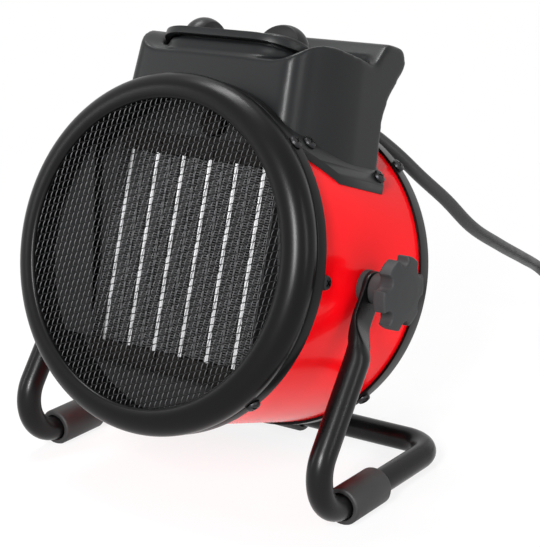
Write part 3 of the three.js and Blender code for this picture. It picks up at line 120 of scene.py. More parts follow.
def soften(obj, width, segments=2, degrees=30):
    """Round the edges that are sharper than an angle."""
    return modify(
        obj,
        "BEVEL",
        width=width,
        segments=segments,
        limit_method="ANGLE",
        angle_limit=math.radians(degrees),
        use_clamp_overlap=True,
    )


def mould(obj, voxel, rounds):
    """Remesh a hard-edged piece and smooth it until its edges are soft."""
    modify(obj, "REMESH", mode="VOXEL", voxel_size=voxel * MM, adaptivity=0.0)
    modify(obj, "SMOOTH", factor=0.5, iterations=rounds)
    return smooth(obj, 180)


def settle(obj, place):
    """Move the mesh itself, so that the object stays at the origin."""
    obj.data.transform(place)
    obj.matrix_world = Matrix.Identity(4)
    obj.data.update()
    return obj


def link(obj):
    bpy.context.scene.collection.objects.link(obj)
    return obj


def from_points(name, points, edges=(), faces=()):
    mesh = bpy.data.meshes.new(name)
    mesh.from_pydata([tuple(p) for p in points], list(edges), list(faces))
    mesh.validate()
    return link(bpy.data.objects.new(name, mesh))


def join_rings(faces, first, rings, sides):
    """Add the faces between rings of points that follow each other."""
    for i in range(rings - 1):
        for k in range(sides):
            a = first + i * sides + k
            b = first + i * sides + (k + 1) % sides
            faces.append((a, b, b + sides, a + sides))


def close_ends(faces, first, rings, sides):
    """Add one face on the first ring and one on the last."""
    last = first + (rings - 1) * sides
    faces.append(tuple(reversed(range(first, first + sides))))
    faces.append(tuple(range(last, last + sides)))


def twin(obj, name):
    """A copy with a mesh of its own."""
    piece = obj.copy()
    piece.data = obj.data.copy()
    piece.name = name
    return link(piece)


def turned(name, profile, steps=144, closed=True):
    """Spin a profile of (radius, depth) in millimetres about the drum's axis."""
    points = [Vector((radius * MM, depth * MM, 0)) for radius, depth in profile]
    count = len(points)
    edges = [(i, i + 1) for i in range(count - 1)] + ([(count - 1, 0)] if closed else [])
    obj = from_points(name, points, edges)
    edit(obj, "EDGE")
    bpy.ops.mesh.spin(steps=steps, angle=2 * math.pi, center=(0, 0, 0), axis=(0, 1, 0))
    done()
    return tidy(obj)


def copy_of(node):
    """A merged copy of a CAD node's mesh, to be finished and put in its place."""
    obj = twin(frame["nodes"][node], f"{node}_skin")
    obj.parent = None
    for key in list(obj.keys()):
        del obj[key]
    obj.hide_render = False
    edit(obj, "VERT")
    bpy.ops.mesh.remove_doubles(threshold=MERGE)
    done()
    edit(obj, "EDGE")
    bpy.ops.mesh.dissolve_limited(angle_limit=math.radians(0.6))
    done()
    return obj


def put(obj, body, finish, slot, *nodes):
    """Give a piece its finish and its body, and hide the CAD nodes that it stands for; slot is not used."""
    obj.data.materials.clear()
    obj.data.materials.append(finish)
    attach(obj, body)
    if nodes:
        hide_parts(*nodes)
    return obj


# ---------- camera and cord


def camera():
    """The photograph's viewpoint, about a metre from the heater, to its right and above it."""
    right = Vector((0.81440, 0.58014, -0.01406))
    up = Vector((-0.15368, 0.23897, 0.95879))
    forward = Vector((-0.55959, 0.77867, -0.28377))
    data = bpy.data.cameras.new("camera")
    data.sensor_width = 36
    data.lens = 108.54
    data.clip_end = 20
    obj = link(bpy.data.objects.new("camera", data))
    axes = Matrix((right, up, -forward)).transposed().to_4x4()
    obj.matrix_world = Matrix.Translation(PIVOT + Vector((0.61263, -0.80582, 0.29062))) @ axes
    bpy.context.scene.camera = obj


def through(points, step):
    """Evenly spaced points on one smooth curve through the given ones."""
    ghost = [2 * points[0] - points[1], *points, 2 * points[-1] - points[-2]]
    fine = []
    for p0, p1, p2, p3 in zip(ghost, ghost[1:], ghost[2:], ghost[3:]):
        t1 = (p1 - p0).length ** 0.5
        t2 = t1 + (p2 - p1).length ** 0.5
        t3 = t2 + (p3 - p2).length ** 0.5
        for k in range(40):
            t = t1 + (t2 - t1) * k / 40
            a1 = p0 * (t1 - t) / t1 + p1 * t / t1
            a2 = p1 * (t2 - t) / (t2 - t1) + p2 * (t - t1) / (t2 - t1)
            a3 = p2 * (t3 - t) / (t3 - t2) + p3 * (t - t2) / (t3 - t2)
            b1 = a1 * (t2 - t) / t2 + a2 * t / t2
            b2 = a2 * (t3 - t) / (t3 - t1) + a3 * (t - t1) / (t3 - t1)
            fine.append(b1 * (t2 - t) / (t2 - t1) + b2 * (t - t1) / (t2 - t1))
    fine.append(points[-1])
    return evenly(fine, step)


def evenly(line, step):
    lengths = [(b - a).length for a, b in zip(line, line[1:])]
    total = sum(lengths)
    count = max(2, round(total / step))
    out = [line[0]]
    covered = 0.0
    i = 0
    for k in range(1, count):
        goal = total * k / count
        while covered + lengths[i] < goal:
            covered += lengths[i]
            i += 1
        out.append(line[i].lerp(line[i + 1], (goal - covered) / lengths[i]))
    return [*out, line[-1]]


def tangent_at(line, i):
    return (line[min(i + 1, len(line) - 1)] - line[max(i - 1, 0)]).normalized()


def circle(centre, across, other, radius, sides):
    turns = [2 * math.pi * k / sides for k in range(sides)]
    return [centre + across * (radius * math.cos(a)) + other * (radius * math.sin(a)) for a in turns]


def sweep(name, line, radius, sides):
    """A closed round tube along a line, its section carried without twist."""
    verts = []
    across = Vector((0, 0, 1))
    for i, p in enumerate(line):
        tangent = tangent_at(line, i)
        across = (across - tangent * across.dot(tangent)).normalized()
        verts += circle(p, across, tangent.cross(across), radius, sides)
    faces = []
    join_rings(faces, 0, len(line), sides)
    close_ends(faces, 0, len(line), sides)
    return tidy(from_points(name, verts, faces=faces))


# the coil on the floor and the gland that the cord leaves, in metres from the pivot
COIL_X = 0.117
COIL_Y = 0.404
COIL_RADIUS = 0.048
COIL_TURNS = 3.35
COIL_START = math.radians(135)
COIL_PITCH = 0.0104
COIL_LAYER = 0.010
COIL_LIFT = 0.0022
COIL_TAIL = 0.024
COIL_LOW = FLOOR + CORD_DIAMETER / 2 + COIL_LIFT
COIL_OUTER = COIL_RADIUS + COIL_PITCH * COIL_TURNS / 4
CORD_ROUTE = [
    *[(0.008, 0.131, 0.072), (0.029, 0.154, 0.047), (0.043, 0.170, 0.026), (0.053, 0.187, 0.008)],
    *[(0.059, 0.213, -0.016), (0.056, 0.265, -0.043), (0.045, 0.325, -0.069), (0.036, 0.376, -0.092)],
    (0.043, 0.402, -0.113),
]
GLAND_END = 0.1323
GLAND_HEIGHT = 0.114
TOUCH = 0.0003


def coil_point(turns):
    half = COIL_TURNS / 2
    angle = COIL_START - turns * 2 * math.pi
    radius = COIL_OUTER - COIL_PITCH * (half - abs(half - turns))
    t = min(max((turns - half + 0.25) / 0.5, 0), 1)
    climb = t * t * (3 - 2 * t)
    x = COIL_X + radius * math.cos(angle)
    y = COIL_Y + radius * math.sin(angle)
    return Vector((x, y, COIL_LOW + climb * COIL_LAYER))


def from_drum(x, depth, height):
    """A point in the drum's own directions, seen from the pivot."""
    return Matrix.Rotation(-TILT, 3, "X") @ Vector((x, depth - PIVOT_DEPTH, height))


def cord_line():
    steps = round(COIL_TURNS * 48)
    turns = [coil_point(COIL_TURNS * k / steps) for k in range(steps + 1)]
    inwards = Vector((math.sin(COIL_START), -math.cos(COIL_START), 0))
    end_angle = COIL_START - COIL_TURNS * 2 * math.pi
    outwards = Vector((math.sin(end_angle), -math.cos(end_angle), 0))
    exit_point = from_drum(0, GLAND_END + TOUCH, GLAND_HEIGHT)
    straight = from_drum(0, GLAND_END + TOUCH + CORD_DIAMETER, GLAND_HEIGHT)
    coil_end = turns[0] - inwards * CORD_DIAMETER
    level = coil_end - inwards * (TOUCH + CORD_DIAMETER)
    route = [straight, *[Vector(p) for p in CORD_ROUTE], level]
    lead = through(route, 0.006)
    line = [exit_point, *lead, *turns, turns[-1] + outwards * COIL_TAIL]
    return [PIVOT + p for p in evenly(line, 0.005)]


def cord(finish):
    line = cord_line()
    obj = smooth(sweep("cord", line, CORD_DIAMETER / 2, 14), 60)
    obj.data.materials.append(finish)
    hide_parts("cord_lead", "cord_coil")
    length = sum((b - a).length for a, b in zip(line, line[1:]))
    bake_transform(obj)


# ---------- finishes


class Level:
    """A number that varies over a surface, worked on with Python's own signs."""

    def __init__(self, finish, socket):
        self.finish = finish
        self.socket = socket

    def _math(self, operation, a, b):
        node = self.finish.node("ShaderNodeMath", {"operation": operation}, {0: a, 1: b})
        return Level(self.finish, node.outputs[0])

    def __add__(self, other):
        return self._math("ADD", self, other)

    __radd__ = __add__

    def __sub__(self, other):
        return self._math("SUBTRACT", self, other)

    def __rsub__(self, other):
        return self._math("SUBTRACT", other, self)

    def __mul__(self, other):
        return self._math("MULTIPLY", self, other)


class Finish:
    """A Principled material that is built from noise, ramps and bumps."""

    def __init__(self, name, **fixed):
        self.material = bpy.data.materials.new(name)
        self.material.use_nodes = True
        self.tree = self.material.node_tree
        self.shader = self.tree.nodes["Principled BSDF"]
        for key, value in fixed.items():
            self.set(key.replace("_", " "), value)
        self.place = self.node("ShaderNodeTexCoord").outputs["Object"]

    def node(self, kind, settings=None, inputs=None):
        node = self.tree.nodes.new(kind)
        for key, value in (settings or {}).items():
            if key == "stops":
                ramp = node.color_ramp
                while len(ramp.elements) < len(value):
                    ramp.elements.new(0.5)
                for element, (position, colour) in zip(ramp.elements, value):
                    element.position = position
                    element.color = (*colour, 1)
            else:
                setattr(node, key, value)
        for key, value in (inputs or {}).items():
            self._feed(node.inputs[key], value)
        return node

    def _feed(self, socket, value):
        if isinstance(value, Level):
            value = value.socket
        if isinstance(value, bpy.types.NodeSocket):
            self.tree.links.new(value, socket)
        elif socket.type == "RGBA" and len(value) == 3:
            socket.default_value = (*value, 1)
        else:
            socket.default_value = value

    def set(self, name, value):
        self._feed(self.shader.inputs[name], value)

    def noise(self, scale, detail=3, rough=0.5, stretch=None):
        place = self.place
        if stretch:
            place = self.node("ShaderNodeMapping", None, {"Vector": place, "Scale": stretch}).outputs[0]
        inputs = {"Vector": place, "Scale": scale, "Detail": detail, "Roughness": rough}
        return Level(self, self.node("ShaderNodeTexNoise", None, inputs).outputs[0])

    def blend(self, amount, a, b):
        node = self.node("ShaderNodeMix", {"data_type": "RGBA"}, {0: amount, 6: a, 7: b})
        return node.outputs[2]

    def clouded(self, amount, colour, low, high):
        """One colour that turns a little darker and lighter."""
        dark = tuple(c * low for c in colour)
        light = tuple(min(c * high, 1) for c in colour)
        return self.blend(amount, dark, light)

    def reach(self, place, axes):
        """How far a place lies from the origin, along some axes only."""
        flat = self.node("ShaderNodeVectorMath", {"operation": "MULTIPLY"}, {0: place, 1: axes})
        length = self.node("ShaderNodeVectorMath", {"operation": "LENGTH"}, {0: flat.outputs[0]})
        return Level(self, length.outputs["Value"])

    def between(self, value, low, high):
        """Spread one part of a level over the range from nought to one."""
        node = self.node("ShaderNodeMapRange", None, {0: value, 1: low, 2: high})
        return Level(self, node.outputs[0])

    def bump(self, height, distance, strength=1.0):
        inputs = {"Height": height, "Distance": distance, "Strength": strength}
        self.set("Normal", self.node("ShaderNodeBump", None, inputs).outputs[0])


def moulded(name, colour, roughness, grain=1900, gloss=0.2):
    """Moulded plastic: fine spark-eroded grain, a little cloudiness in gloss and tone."""
    f = Finish(name, Specular_IOR_Level=gloss)
    cloud = f.noise(28, 4)
    fine = f.noise(grain, 2)
    f.set("Base Color", f.clouded(cloud, colour, 0.86, 1.16))
    f.set("Roughness", roughness - 0.05 + cloud * 0.1 + fine * 0.04)
    f.bump(fine, 0.00006, 0.35)
    return f.material


def enamel(name, colour, roughness):
    """Stoved black paint: satin, with a slight orange peel."""
    f = Finish(name, Specular_IOR_Level=0.15)
    peel = f.noise(420, 2)
    cloud = f.noise(9, 3)
    f.set("Base Color", f.clouded(cloud, colour, 0.95, 1.04))
    f.set("Roughness", roughness + (cloud - 0.5) * 0.05)
    f.bump(peel, 0.00008, 0.12)
    return f.material


def drum_paint(name, outside, inside):
    """Gloss red outside; the inner face of the rolled sheet is dark."""
    f = Finish(name, Coat_Roughness=0.05, Specular_IOR_Level=0.05)
    peel = f.noise(380, 2)
    cloud = f.noise(7, 3)
    centred = f.node("ShaderNodeVectorMath", {"operation": "SUBTRACT"}, {0: f.place, 1: tuple(PIVOT)})
    turn = {"Vector": centred.outputs[0], "Angle": TILT}
    level = f.node("ShaderNodeVectorRotate", {"rotation_type": "X_AXIS"}, turn)
    shell = f.between(f.reach(level.outputs[0], (1, 0, 1)), 0.1030, 0.1032)
    f.set("Base Color", f.blend(shell, inside, f.clouded(cloud, outside, 0.94, 1.05)))
    f.set("Roughness", 0.62 - shell * 0.40 + (cloud - 0.5) * 0.06)
    f.set("Coat Weight", shell * 0.09)
    f.bump(peel, 0.00008, 0.1)
    return f.material


def powder_coat(name, colour, roughness):
    """Baked powder on the tube: a fine, even pebble and a cloudy tone."""
    f = Finish(name, Specular_IOR_Level=0.2)
    pebble = f.noise(1500, 2)
    cloud = f.noise(40, 3)
    f.set("Base Color", f.clouded(cloud, colour, 0.85, 1.2))
    f.set("Roughness", roughness - 0.04 + cloud * 0.1)
    f.bump(pebble, 0.00005, 0.3)
    return f.material


def rubber(name, colour, roughness):
    """Dull rubber with a little dust."""
    f = Finish(name)
    dust = f.between(f.noise(70, 5, 0.6), 0.45, 0.75)
    fine = f.noise(1300, 2)
    f.set("Base Color", f.clouded(dust * 0.35, colour, 1, 2.2))
    f.set("Roughness", roughness - 0.06 + dust * 0.12)
    f.bump(fine, 0.00006, 0.3)
    return f.material


def metal(name, colour, roughness, stretch=(1, 1, 1)):
    """Bare or plated metal with drawing marks and cloudy gloss."""
    f = Finish(name, Metallic=1.0)
    marks = f.noise(600, 3, 0.6, stretch)
    cloud = f.noise(60, 3)
    f.set("Base Color", f.clouded(cloud, colour, 0.82, 1.12))
    f.set("Roughness", roughness - 0.06 + marks * 0.12)
    f.bump(marks, 0.00003, 0.25)
    return f.material


HOUSING = moulded("housing_plastic", (0.0075, 0.008, 0.0085), 0.34)
KNOBS = moulded("knob_plastic", (0.009, 0.009, 0.0095), 0.36, grain=2400)
STAR = moulded("star_knob_plastic", (0.026, 0.027, 0.028), 0.5, grain=1500)
RING = enamel("ring_enamel", (0.002, 0.002, 0.0022), 0.30)
DRUM_PAINT = drum_paint("drum_enamel", (0.90, 0.002, 0.006), (0.006, 0.006, 0.006))
TUBE = powder_coat("tube_powder_coat", (0.003, 0.003, 0.0033), 0.27)
RUBBER = rubber("foot_rubber", (0.012, 0.012, 0.012), 0.6)
CORD = rubber("cord_rubber", (0.014, 0.014, 0.015), 0.52)
# the wire cloth is one metal in two tones: the upright wires painted lighter as a painted sheen, the cross wires
# painted darker as a painted shade
WIRE_PAINTED_SHEEN = metal("mesh_wire_upright_painted_sheen", (0.15, 0.15, 0.155), 0.38)
WIRE_PAINTED_SHADE = metal("mesh_wire_across_painted_shade", (0.03, 0.03, 0.031), 0.5)
FINS = metal("fin_aluminium", (0.15, 0.15, 0.155), 0.42, (1, 1, 6))
TUBES = metal("tube_aluminium", (0.66, 0.66, 0.67), 0.34, (1, 1, 6))
ZINC = metal("zinc_steel", (0.62, 0.63, 0.64), 0.34)
SHEET = enamel("baffle_sheet", (0.022, 0.022, 0.023), 0.5)
SCREWS = metal("blackened_screws", (0.035, 0.035, 0.037), 0.42)
INSULATOR = moulded("insulator", (0.005, 0.0045, 0.004), 0.6, gloss=0.1)
FAN = moulded("fan_plastic", (0.007, 0.007, 0.0075), 0.5, gloss=0.12)


# ---------- pieces


def dress(node, finish, slot, bevel):
    """The CAD piece as it is, with its edges broken and its round faces smooth."""
    obj = copy_of(node)
    if bevel:
        soften(obj, bevel * MM)
    put(smooth(obj), BODY_OF[node], finish, slot, node)


def drum_shell():
    """Rolled sheet, red outside and dark inside."""
    sheet = turned("drum_shell", [(102.6, 4), (103.6, 4), (103.6, 136), (102.6, 136)], 192)
    put(settle(smooth(sheet, 30), DRUM), "barrel", DRUM_PAINT, "red_paint", "barrel_shell")


def arc_points(centre, radii, first, last, steps):
    out = []
    for k in range(steps + 1):
        angle = math.radians(first + (last - first) * k / steps)
        out.append((centre[0] + radii[0] * math.cos(angle), centre[1] + radii[1] * math.sin(angle)))
    return out


def bumper(name, profile, steps, node):
    """A black ring about the drum's axis."""
    ring = smooth(turned(name, profile, steps), 38)
    put(settle(ring, DRUM), "barrel", RING, "satin_black", node)


def front_ring():
    """The bumper: round nose, rolled edge at the opening, groove and flange, hollow behind."""
    profile = [(109.0, 13.8), (109.3, 13.5), (109.3, 5.4), (109.0, 4.8), (108.4, 4.5), (108.3, 3.7)]
    profile += [(108.4, 2.9), (109.4, 2.5), (109.9, 1.9), *arc_points((98, -1), (12, 11), 0, -90, 22)]
    profile += [(95.4, -11.95), (94.3, -11.6), (93.5, -11.0), (93.2, -10.4), (93.2, -9.35), (98, -9.3)]
    profile += [(98, -5.5), (106.9, -1), (106.9, 1.2), (101.6, 1.2), (101.6, 3.7)]
    profile += [(103.9, 3.7), (103.9, 13.8)]
    bumper("front_bumper", profile, 192, "front_ring")


def rear_ring():
    profile = [(105.6, 132.7), (105.6, 141.6), (105.3, 142.7), (104.6, 143.4), (103.6, 143.7)]
    profile += [(95.6, 143.7), (95.1, 143.4), (95.0, 142.9), (95.0, 141.2), (100.5, 141.2)]
    profile += [(100.5, 136.3), (103.9, 136.3), (103.9, 132.5), (105.4, 132.5)]
    bumper("rear_bumper", profile, 192, "rear_ring")


# one step of the cloth along its upright wires and one along its cross wires
NET_UP = Vector((0.70, 4.70))
NET_ACROSS = Vector((3.83, 1.39))
NET_RADIUS = 97.3
NET_DEPTH = -8.6
WIRE_UP = 0.27
WIRE_ACROSS = 0.28


def net_wires(along, step, samples, dip):
    """Parallel wires cut round: for each its points with their depth, and its sideways direction."""
    wires = []
    way = along.normalized()
    count = int(NET_RADIUS / abs(way.cross(step))) + 2
    for i in range(-count, count + 1):
        middle = step * i
        reach = NET_RADIUS**2 - middle.length_squared + middle.dot(way) ** 2
        if reach < 9:
            continue
        first = -middle.dot(way) - math.sqrt(reach)
        last = -middle.dot(way) + math.sqrt(reach)
        steps = max(2, round((last - first) / along.length * samples))
        wire = []
        for k in range(steps + 1):
            t = first + (last - first) * k / steps
            wave = dip * (0.5 + 0.5 * math.cos(2 * math.pi * t / along.length))
            wire.append((middle + way * t, wave))
        wires.append((wire, Vector((-way.y, way.x))))
    return wires


def add_wire(verts, faces, wire, side, radius, depth):
    """One wire with a square section that stands on its corner."""
    first = len(verts)
    for place, wave in wire:
        for a, b in ((0, 1), (1, 0), (0, -1), (-1, 0)):
            at = place + side * (a * radius)
            verts.append(Vector((at.x, depth + wave + b * radius, at.y)) * MM)
    join_rings(faces, first, len(wire), 4)
    close_ends(faces, first, len(wire), 4)


def front_mesh():
    """Wire cloth, cut round and bound by the clamp ring; the wires across lie over the upright ones. The cross
    wires carry a painted shade and the upright wires a painted sheen.
    """
    verts = []
    faces = []
    for wire, side in net_wires(NET_ACROSS, NET_UP, 1, 0):
        add_wire(verts, faces, wire, side, WIRE_ACROSS, NET_DEPTH - 0.3)
    crosswise = len(faces)
    for wire, side in net_wires(NET_UP, NET_ACROSS, 5, 0.5):
        add_wire(verts, faces, wire, side, WIRE_UP, NET_DEPTH - 0.1)
    net = smooth(outwards(from_points("wire_cloth", verts, faces=faces)), 80)
    # cross wires get the darker tone (painted shade), upright wires the lighter one (painted sheen)
    put(settle(net, DRUM), "barrel", WIRE_PAINTED_SHADE, "dark_wire", "front_mesh")
    net.data.materials.append(WIRE_PAINTED_SHEEN)
    for face in net.data.polygons:
        face.material_index = int(face.index >= crosswise)


def mesh_clamp():
    profile = [(94.1, -7.5), (94.5, -7.9), (97.3, -7.9), (97.7, -7.5)]
    profile += [(97.7, -6.2), (97.4, -5.9), (94.4, -5.9), (94.1, -6.2)]
    bumper("clamp_ring", profile, 144, "mesh_clamp_ring")


# ---------- heating pack


PACK_FRONT = 20
PACK_REAR = 35
PACK_HEIGHT = 121
ELEMENT_PITCH = 20.4
ELEMENT_GAP = 0.3
TUBE_HALF = 1.7
TUBE_TIP = 6.5
FOLDS = 78
FIN_WALL = 0.22
PLATE_WALL = 0.5


def zigzag(x_inner, x_outer, half):
    """The two sides of a folded fin, in the plane of its front edge."""
    step = half / FOLDS
    lower = []
    for k in range(2 * FOLDS + 1):
        lower.append((x_inner if k % 2 else x_outer, -half + k * step))
    return lower, [(x, z + FIN_WALL) for x, z in lower]


def add_strip(verts, faces, lower, upper, front, rear):
    """A thin strip between two depths, closed all round."""
    first = len(verts)
    for (xa, za), (xb, zb) in zip(lower, upper):
        verts.extend([(xa, front, za), (xb, front, zb), (xb, rear, zb), (xa, rear, za)])
    join_rings(faces, first, len(lower), 4)
    close_ends(faces, first, len(lower), 4)


def add_tube(verts, faces, half):
    """A flat tube with rounded front and back edges; its bright middle comes last."""
    ring = [(-TUBE_HALF, PACK_FRONT + 1.2), (-TUBE_HALF * 0.75, PACK_FRONT + 0.3), (0, PACK_FRONT)]
    ring += [(TUBE_HALF * 0.75, PACK_FRONT + 0.3), (TUBE_HALF, PACK_FRONT + 1.2)]
    ring += [(x, PACK_FRONT + PACK_REAR - y) for x, y in reversed(ring)]
    first = len(verts)
    count = len(ring)
    levels = (-half - TUBE_TIP, -half - 0.4, half + 0.4, half + TUBE_TIP)
    for z in levels:
        verts.extend([(x, y, z) for x, y in ring])
    close_ends(faces, first, len(levels), count)
    for level in (0, 2, 1):
        join_rings(faces, first + level * count, 2, count)
    return len(faces) - count


def heating_element():
    """A flat tube between two folded fins and thin side plates; faces know fin, tube and tip by index."""
    verts = []
    faces = []
    half = PACK_HEIGHT / 2
    side = (ELEMENT_PITCH - ELEMENT_GAP) / 2
    for sign in (-1, 1):
        fold = zigzag(sign * (TUBE_HALF + 0.1), sign * (side - 0.6), half - 0.6)
        add_strip(verts, faces, *fold, PACK_FRONT + 0.2, PACK_REAR - 0.2)
        plate = [(sign * side, -half), (sign * side, half)]
        inside = [(sign * (side - PLATE_WALL), -half), (sign * (side - PLATE_WALL), half)]
        add_strip(verts, faces, plate, inside, PACK_FRONT, PACK_REAR)
    fins = len(faces)
    bright = add_tube(verts, faces, half)
    obj = from_points("element_1", [Vector(v) * MM for v in verts], faces=faces)
    for face in obj.data.polygons:
        if face.index >= fins:
            face.material_index = 1 if face.index >= bright else 2
    return smooth(outwards(obj), 30)


def heating_pack():
    pieces = [heating_element()]
    for k in range(2, 7):
        pieces.append(twin(pieces[0], f"element_{k}"))
    for k, piece in enumerate(pieces):
        place = Matrix.Translation(((k - 2.5) * ELEMENT_PITCH * MM, 0, 0))
        parts = [face.material_index for face in piece.data.polygons]
        put(settle(piece, DRUM @ place), "barrel", FINS, "aluminium", f"ptc_element_{k + 1}")
        piece.data.materials.append(TUBES)
        piece.data.materials.append(INSULATOR)
        for face, index in zip(piece.data.polygons, parts):
            face.material_index = index


# ---------- outlines


def curve2(start, *pieces, steps=10):
    """Points of a flat outline: a pair is a straight line, three or five numbers more are curves."""
    out = [start]
    for piece in pieces:
        here = out[-1]
        if len(piece) == 2:
            out.append(piece)
            continue
        n = len(piece) // 2
        ends = [here, *[(piece[2 * k], piece[2 * k + 1]) for k in range(n)]]
        for k in range(1, steps + 1):
            t = k / steps
            row = ends
            while len(row) > 1:
                row = [(a[0] + (b[0] - a[0]) * t, a[1] + (b[1] - a[1]) * t) for a, b in zip(row, row[1:])]
            out.append(row[0])
    return out


def plan(x, y):
    return Vector((x, y, 0))


def side_view(y, z):
    return Vector((0, y, z))


def prism(name, outline, view, low, high):
    """A flat outline in millimetres, filled and then extruded square to its view between two levels."""
    away = Vector((0, 0, 1)) if view is plan else Vector((1, 0, 0))
    points = [(view(*p) + away * low) * MM for p in outline]
    obj = from_points(name, points, faces=[tuple(range(len(points)))])
    edit(obj, "FACE")
    bpy.ops.mesh.extrude_region_move(TRANSFORM_OT_translate={"value": away * (high - low) * MM})
    done()
    return tidy(obj)


def combine(obj, operation, *tools):
    """Union, difference or intersection with other pieces, which are used up."""
    for tool in tools:
        modify(obj, "BOOLEAN", object=tool, operation=operation, solver="EXACT")
        bpy.data.objects.remove(tool)
    return obj


def box(name, x0, x1, y0, y1, z0, z1):
    return prism(name, [(x0, y0), (x1, y0), (x1, y1), (x0, y1)], plan, z0, z1)


def round_box_plan(half, y0, y1, corner):
    flat = half - corner
    rear = [(half, y1 - corner), (half, y1, flat, y1), (-flat, y1), (-half, y1, -half, y1 - corner)]
    front = [(-half, y0 + corner), (-half, y0, -flat, y0)]
    return curve2((-flat, y0), (flat, y0), (half, y0, half, y0 + corner), *rear, *front, steps=6)[:-1]


# ---------- housing


PANEL_FALL = math.radians(12)
PANEL_SEAT = Matrix.Translation((0, 21 * MM, 141 * MM)) @ Matrix.Rotation(-PANEL_FALL, 4, "X")
PANEL = DRUM @ PANEL_SEAT
AT_GLAND = Matrix.Translation((0, 0, GLAND_HEIGHT))
SEAT = 103.9
TOP = 150.9
FOOT = 60.0
WALL_FRONT = 18
WALL_REAR = 102


def wall_plan():
    half = curve2((0, 18), (55.5, 18), (64.4, 18, 68.4, 31), (77.6, 50, 79.5, 72), (79.5, 126), steps=14)
    return half + [(-x, y) for x, y in reversed(half[1:])]


def side_plan():
    """Foot, panel slope, grip bar and the hollow below it, from the front round to the rear."""
    slope = [(0, 140), (38, 140.6), (84, 135.2), (88, 135.2, 91, 138.7)]
    bar = [(99, 147.9), (101.5, 150.9, 106, 150.9), (114, 150.9), (124, 150.9, 124, 141.9)]
    hollow = [(124, 138.4, 121, 134.4), (110, 121, 102, 112, 102, 92)]
    return curve2((0, FOOT), *slope, *bar, *hollow, (WALL_REAR, FOOT))


def shoulder_height(x, y):
    """The top of the housing dips at the front and climbs round both corners to the side walls."""
    climb = min((max(abs(x) - 46, 0) * 0.75 + (y - WALL_FRONT) * 0.45) / 27, 1)
    return 125.8 + 13.2 * climb * climb * (3 - 2 * climb)


def above_shoulder():
    """A block whose underside is the shoulder."""
    columns = range(-90, 91, 3)
    rows = range(14, 48, 3)
    verts = [Vector((x, y, shoulder_height(x, max(y, WALL_FRONT)))) * MM for y in rows for x in columns]
    verts += [Vector((v.x, v.y, 0.17)) for v in verts]
    wide = len(columns)
    half = wide * len(rows)
    faces = []
    for j in range(len(rows) - 1):
        for i in range(wide - 1):
            a = j * wide + i
            faces.append((a, a + wide, a + wide + 1, a + 1))
            faces.append((half + a, half + a + 1, half + a + wide + 1, half + a + wide))
    around = [*range(wide), *[wide * j + wide - 1 for j in range(1, len(rows))]]
    around += [*range(half - 2, half - wide - 1, -1), *[wide * j for j in range(len(rows) - 2, 0, -1)]]
    for a, b in zip(around, [*around[1:], around[0]]):
        faces.append((a, b, b + half, a + half))
    return outwards(from_points("above_shoulder", verts, faces=faces))


def recess_plan(front, rear):
    corner = 31.3
    left = arc_points((-25, front + corner), (corner, corner), 180, 270, 14)
    right = arc_points((25, front + corner), (corner, corner), 270, 360, 14)
    return [*left, *right, (56.3, rear), (-56.3, rear)]


def flange_plan():
    half = [(72, 14.3), (76.5, 21.3), (86, 50.3), (87, 99.5), (83.5, 103.5)]
    return half + [(-x, y) for x, y in reversed(half)]


def lean(obj):
    """The sides lean in towards the top and the front wall leans back."""
    for v in obj.data.vertices:
        x, y, z = v.co / MM
        forward = min(max((WALL_REAR - y) / (WALL_REAR - WALL_FRONT), 0), 1)
        v.co = Vector((x * (1 - 0.0009 * (z - 74)), y + 0.06 * (z - 98) * forward, z)) * MM


def housing_walls():
    """The block of the housing, sliced both ways so that it can lean, then cut to its side outline."""
    walls = prism("housing", wall_plan(), plan, FOOT, TOP + 4)
    edit(walls, "FACE")
    for level in range(66, 154, 8):
        bpy.ops.mesh.select_all(action="SELECT")
        bpy.ops.mesh.bisect(plane_co=(0, 0, level * MM), plane_no=(0, 0, 1))
    for depth in (30, 45, 60, 75, 90, 102):
        bpy.ops.mesh.select_all(action="SELECT")
        bpy.ops.mesh.bisect(plane_co=(0, depth * MM, 0), plane_no=(0, 1, 0))
    done()
    lean(walls)
    return combine(walls, "INTERSECT", prism("side", side_plan(), side_view, -110, 110))


def panel_shelf():
    shelf = prism("shelf", recess_plan(19.7, 72.5), plan, 110, 160)
    above = [(18, 132.3), (74, 120.4), (74, 170), (18, 170)]
    return combine(shelf, "INTERSECT", prism("above_shelf", above, side_view, -60, 60))


def at_panel(name, inset, low, high):
    """A prism with the panel's outline, drawn in and put at the panel's seat."""
    tool = prism(name, panel_plan(inset), plan, low, high)
    tool.data.transform(PANEL_SEAT)
    return tool


def cord_way(name, radius, front, rear):
    tool = turned(name, [(0, front), (radius, front), (radius, rear), (0, rear)], 32, closed=False)
    tool.data.transform(AT_GLAND)
    return tool


def handle_housing():
    """Moulded shell: cut out with hard edges, then remeshed and smoothed to its soft ones."""
    walls = housing_walls()
    drum = turned("drum", [(0, -12), (SEAT, -12), (SEAT, 150), (0, 150)], 144, closed=False)
    tools = [
        drum,
        above_shoulder(),
        panel_shelf(),
        at_panel("skirt_room", 7.7, -24, -3),
        prism("grip", round_box_plan(68.5, 57, 94, 8), plan, 123, 160),
        prism("switch_room", round_box_plan(44, 31, 69, 6), plan, FOOT, 150),
        prism("wire_room", round_box_plan(62, 38, 98.5, 6), plan, FOOT, 117.5),
        cord_way("cord_bore", 6.2, 89, 107),
        cord_way("cord_seat", 9.3, 102, 129),
    ]
    combine(walls, "DIFFERENCE", *tools)
    combine(walls, "UNION", at_panel("plinth", 3.8, -17, -4.9))
    combine(walls, "DIFFERENCE", at_panel("inside", 7.7, -24, -3))
    put(settle(mould(walls, 1.05, 26), DRUM), "barrel", HOUSING, "black_plastic", "handle_housing")


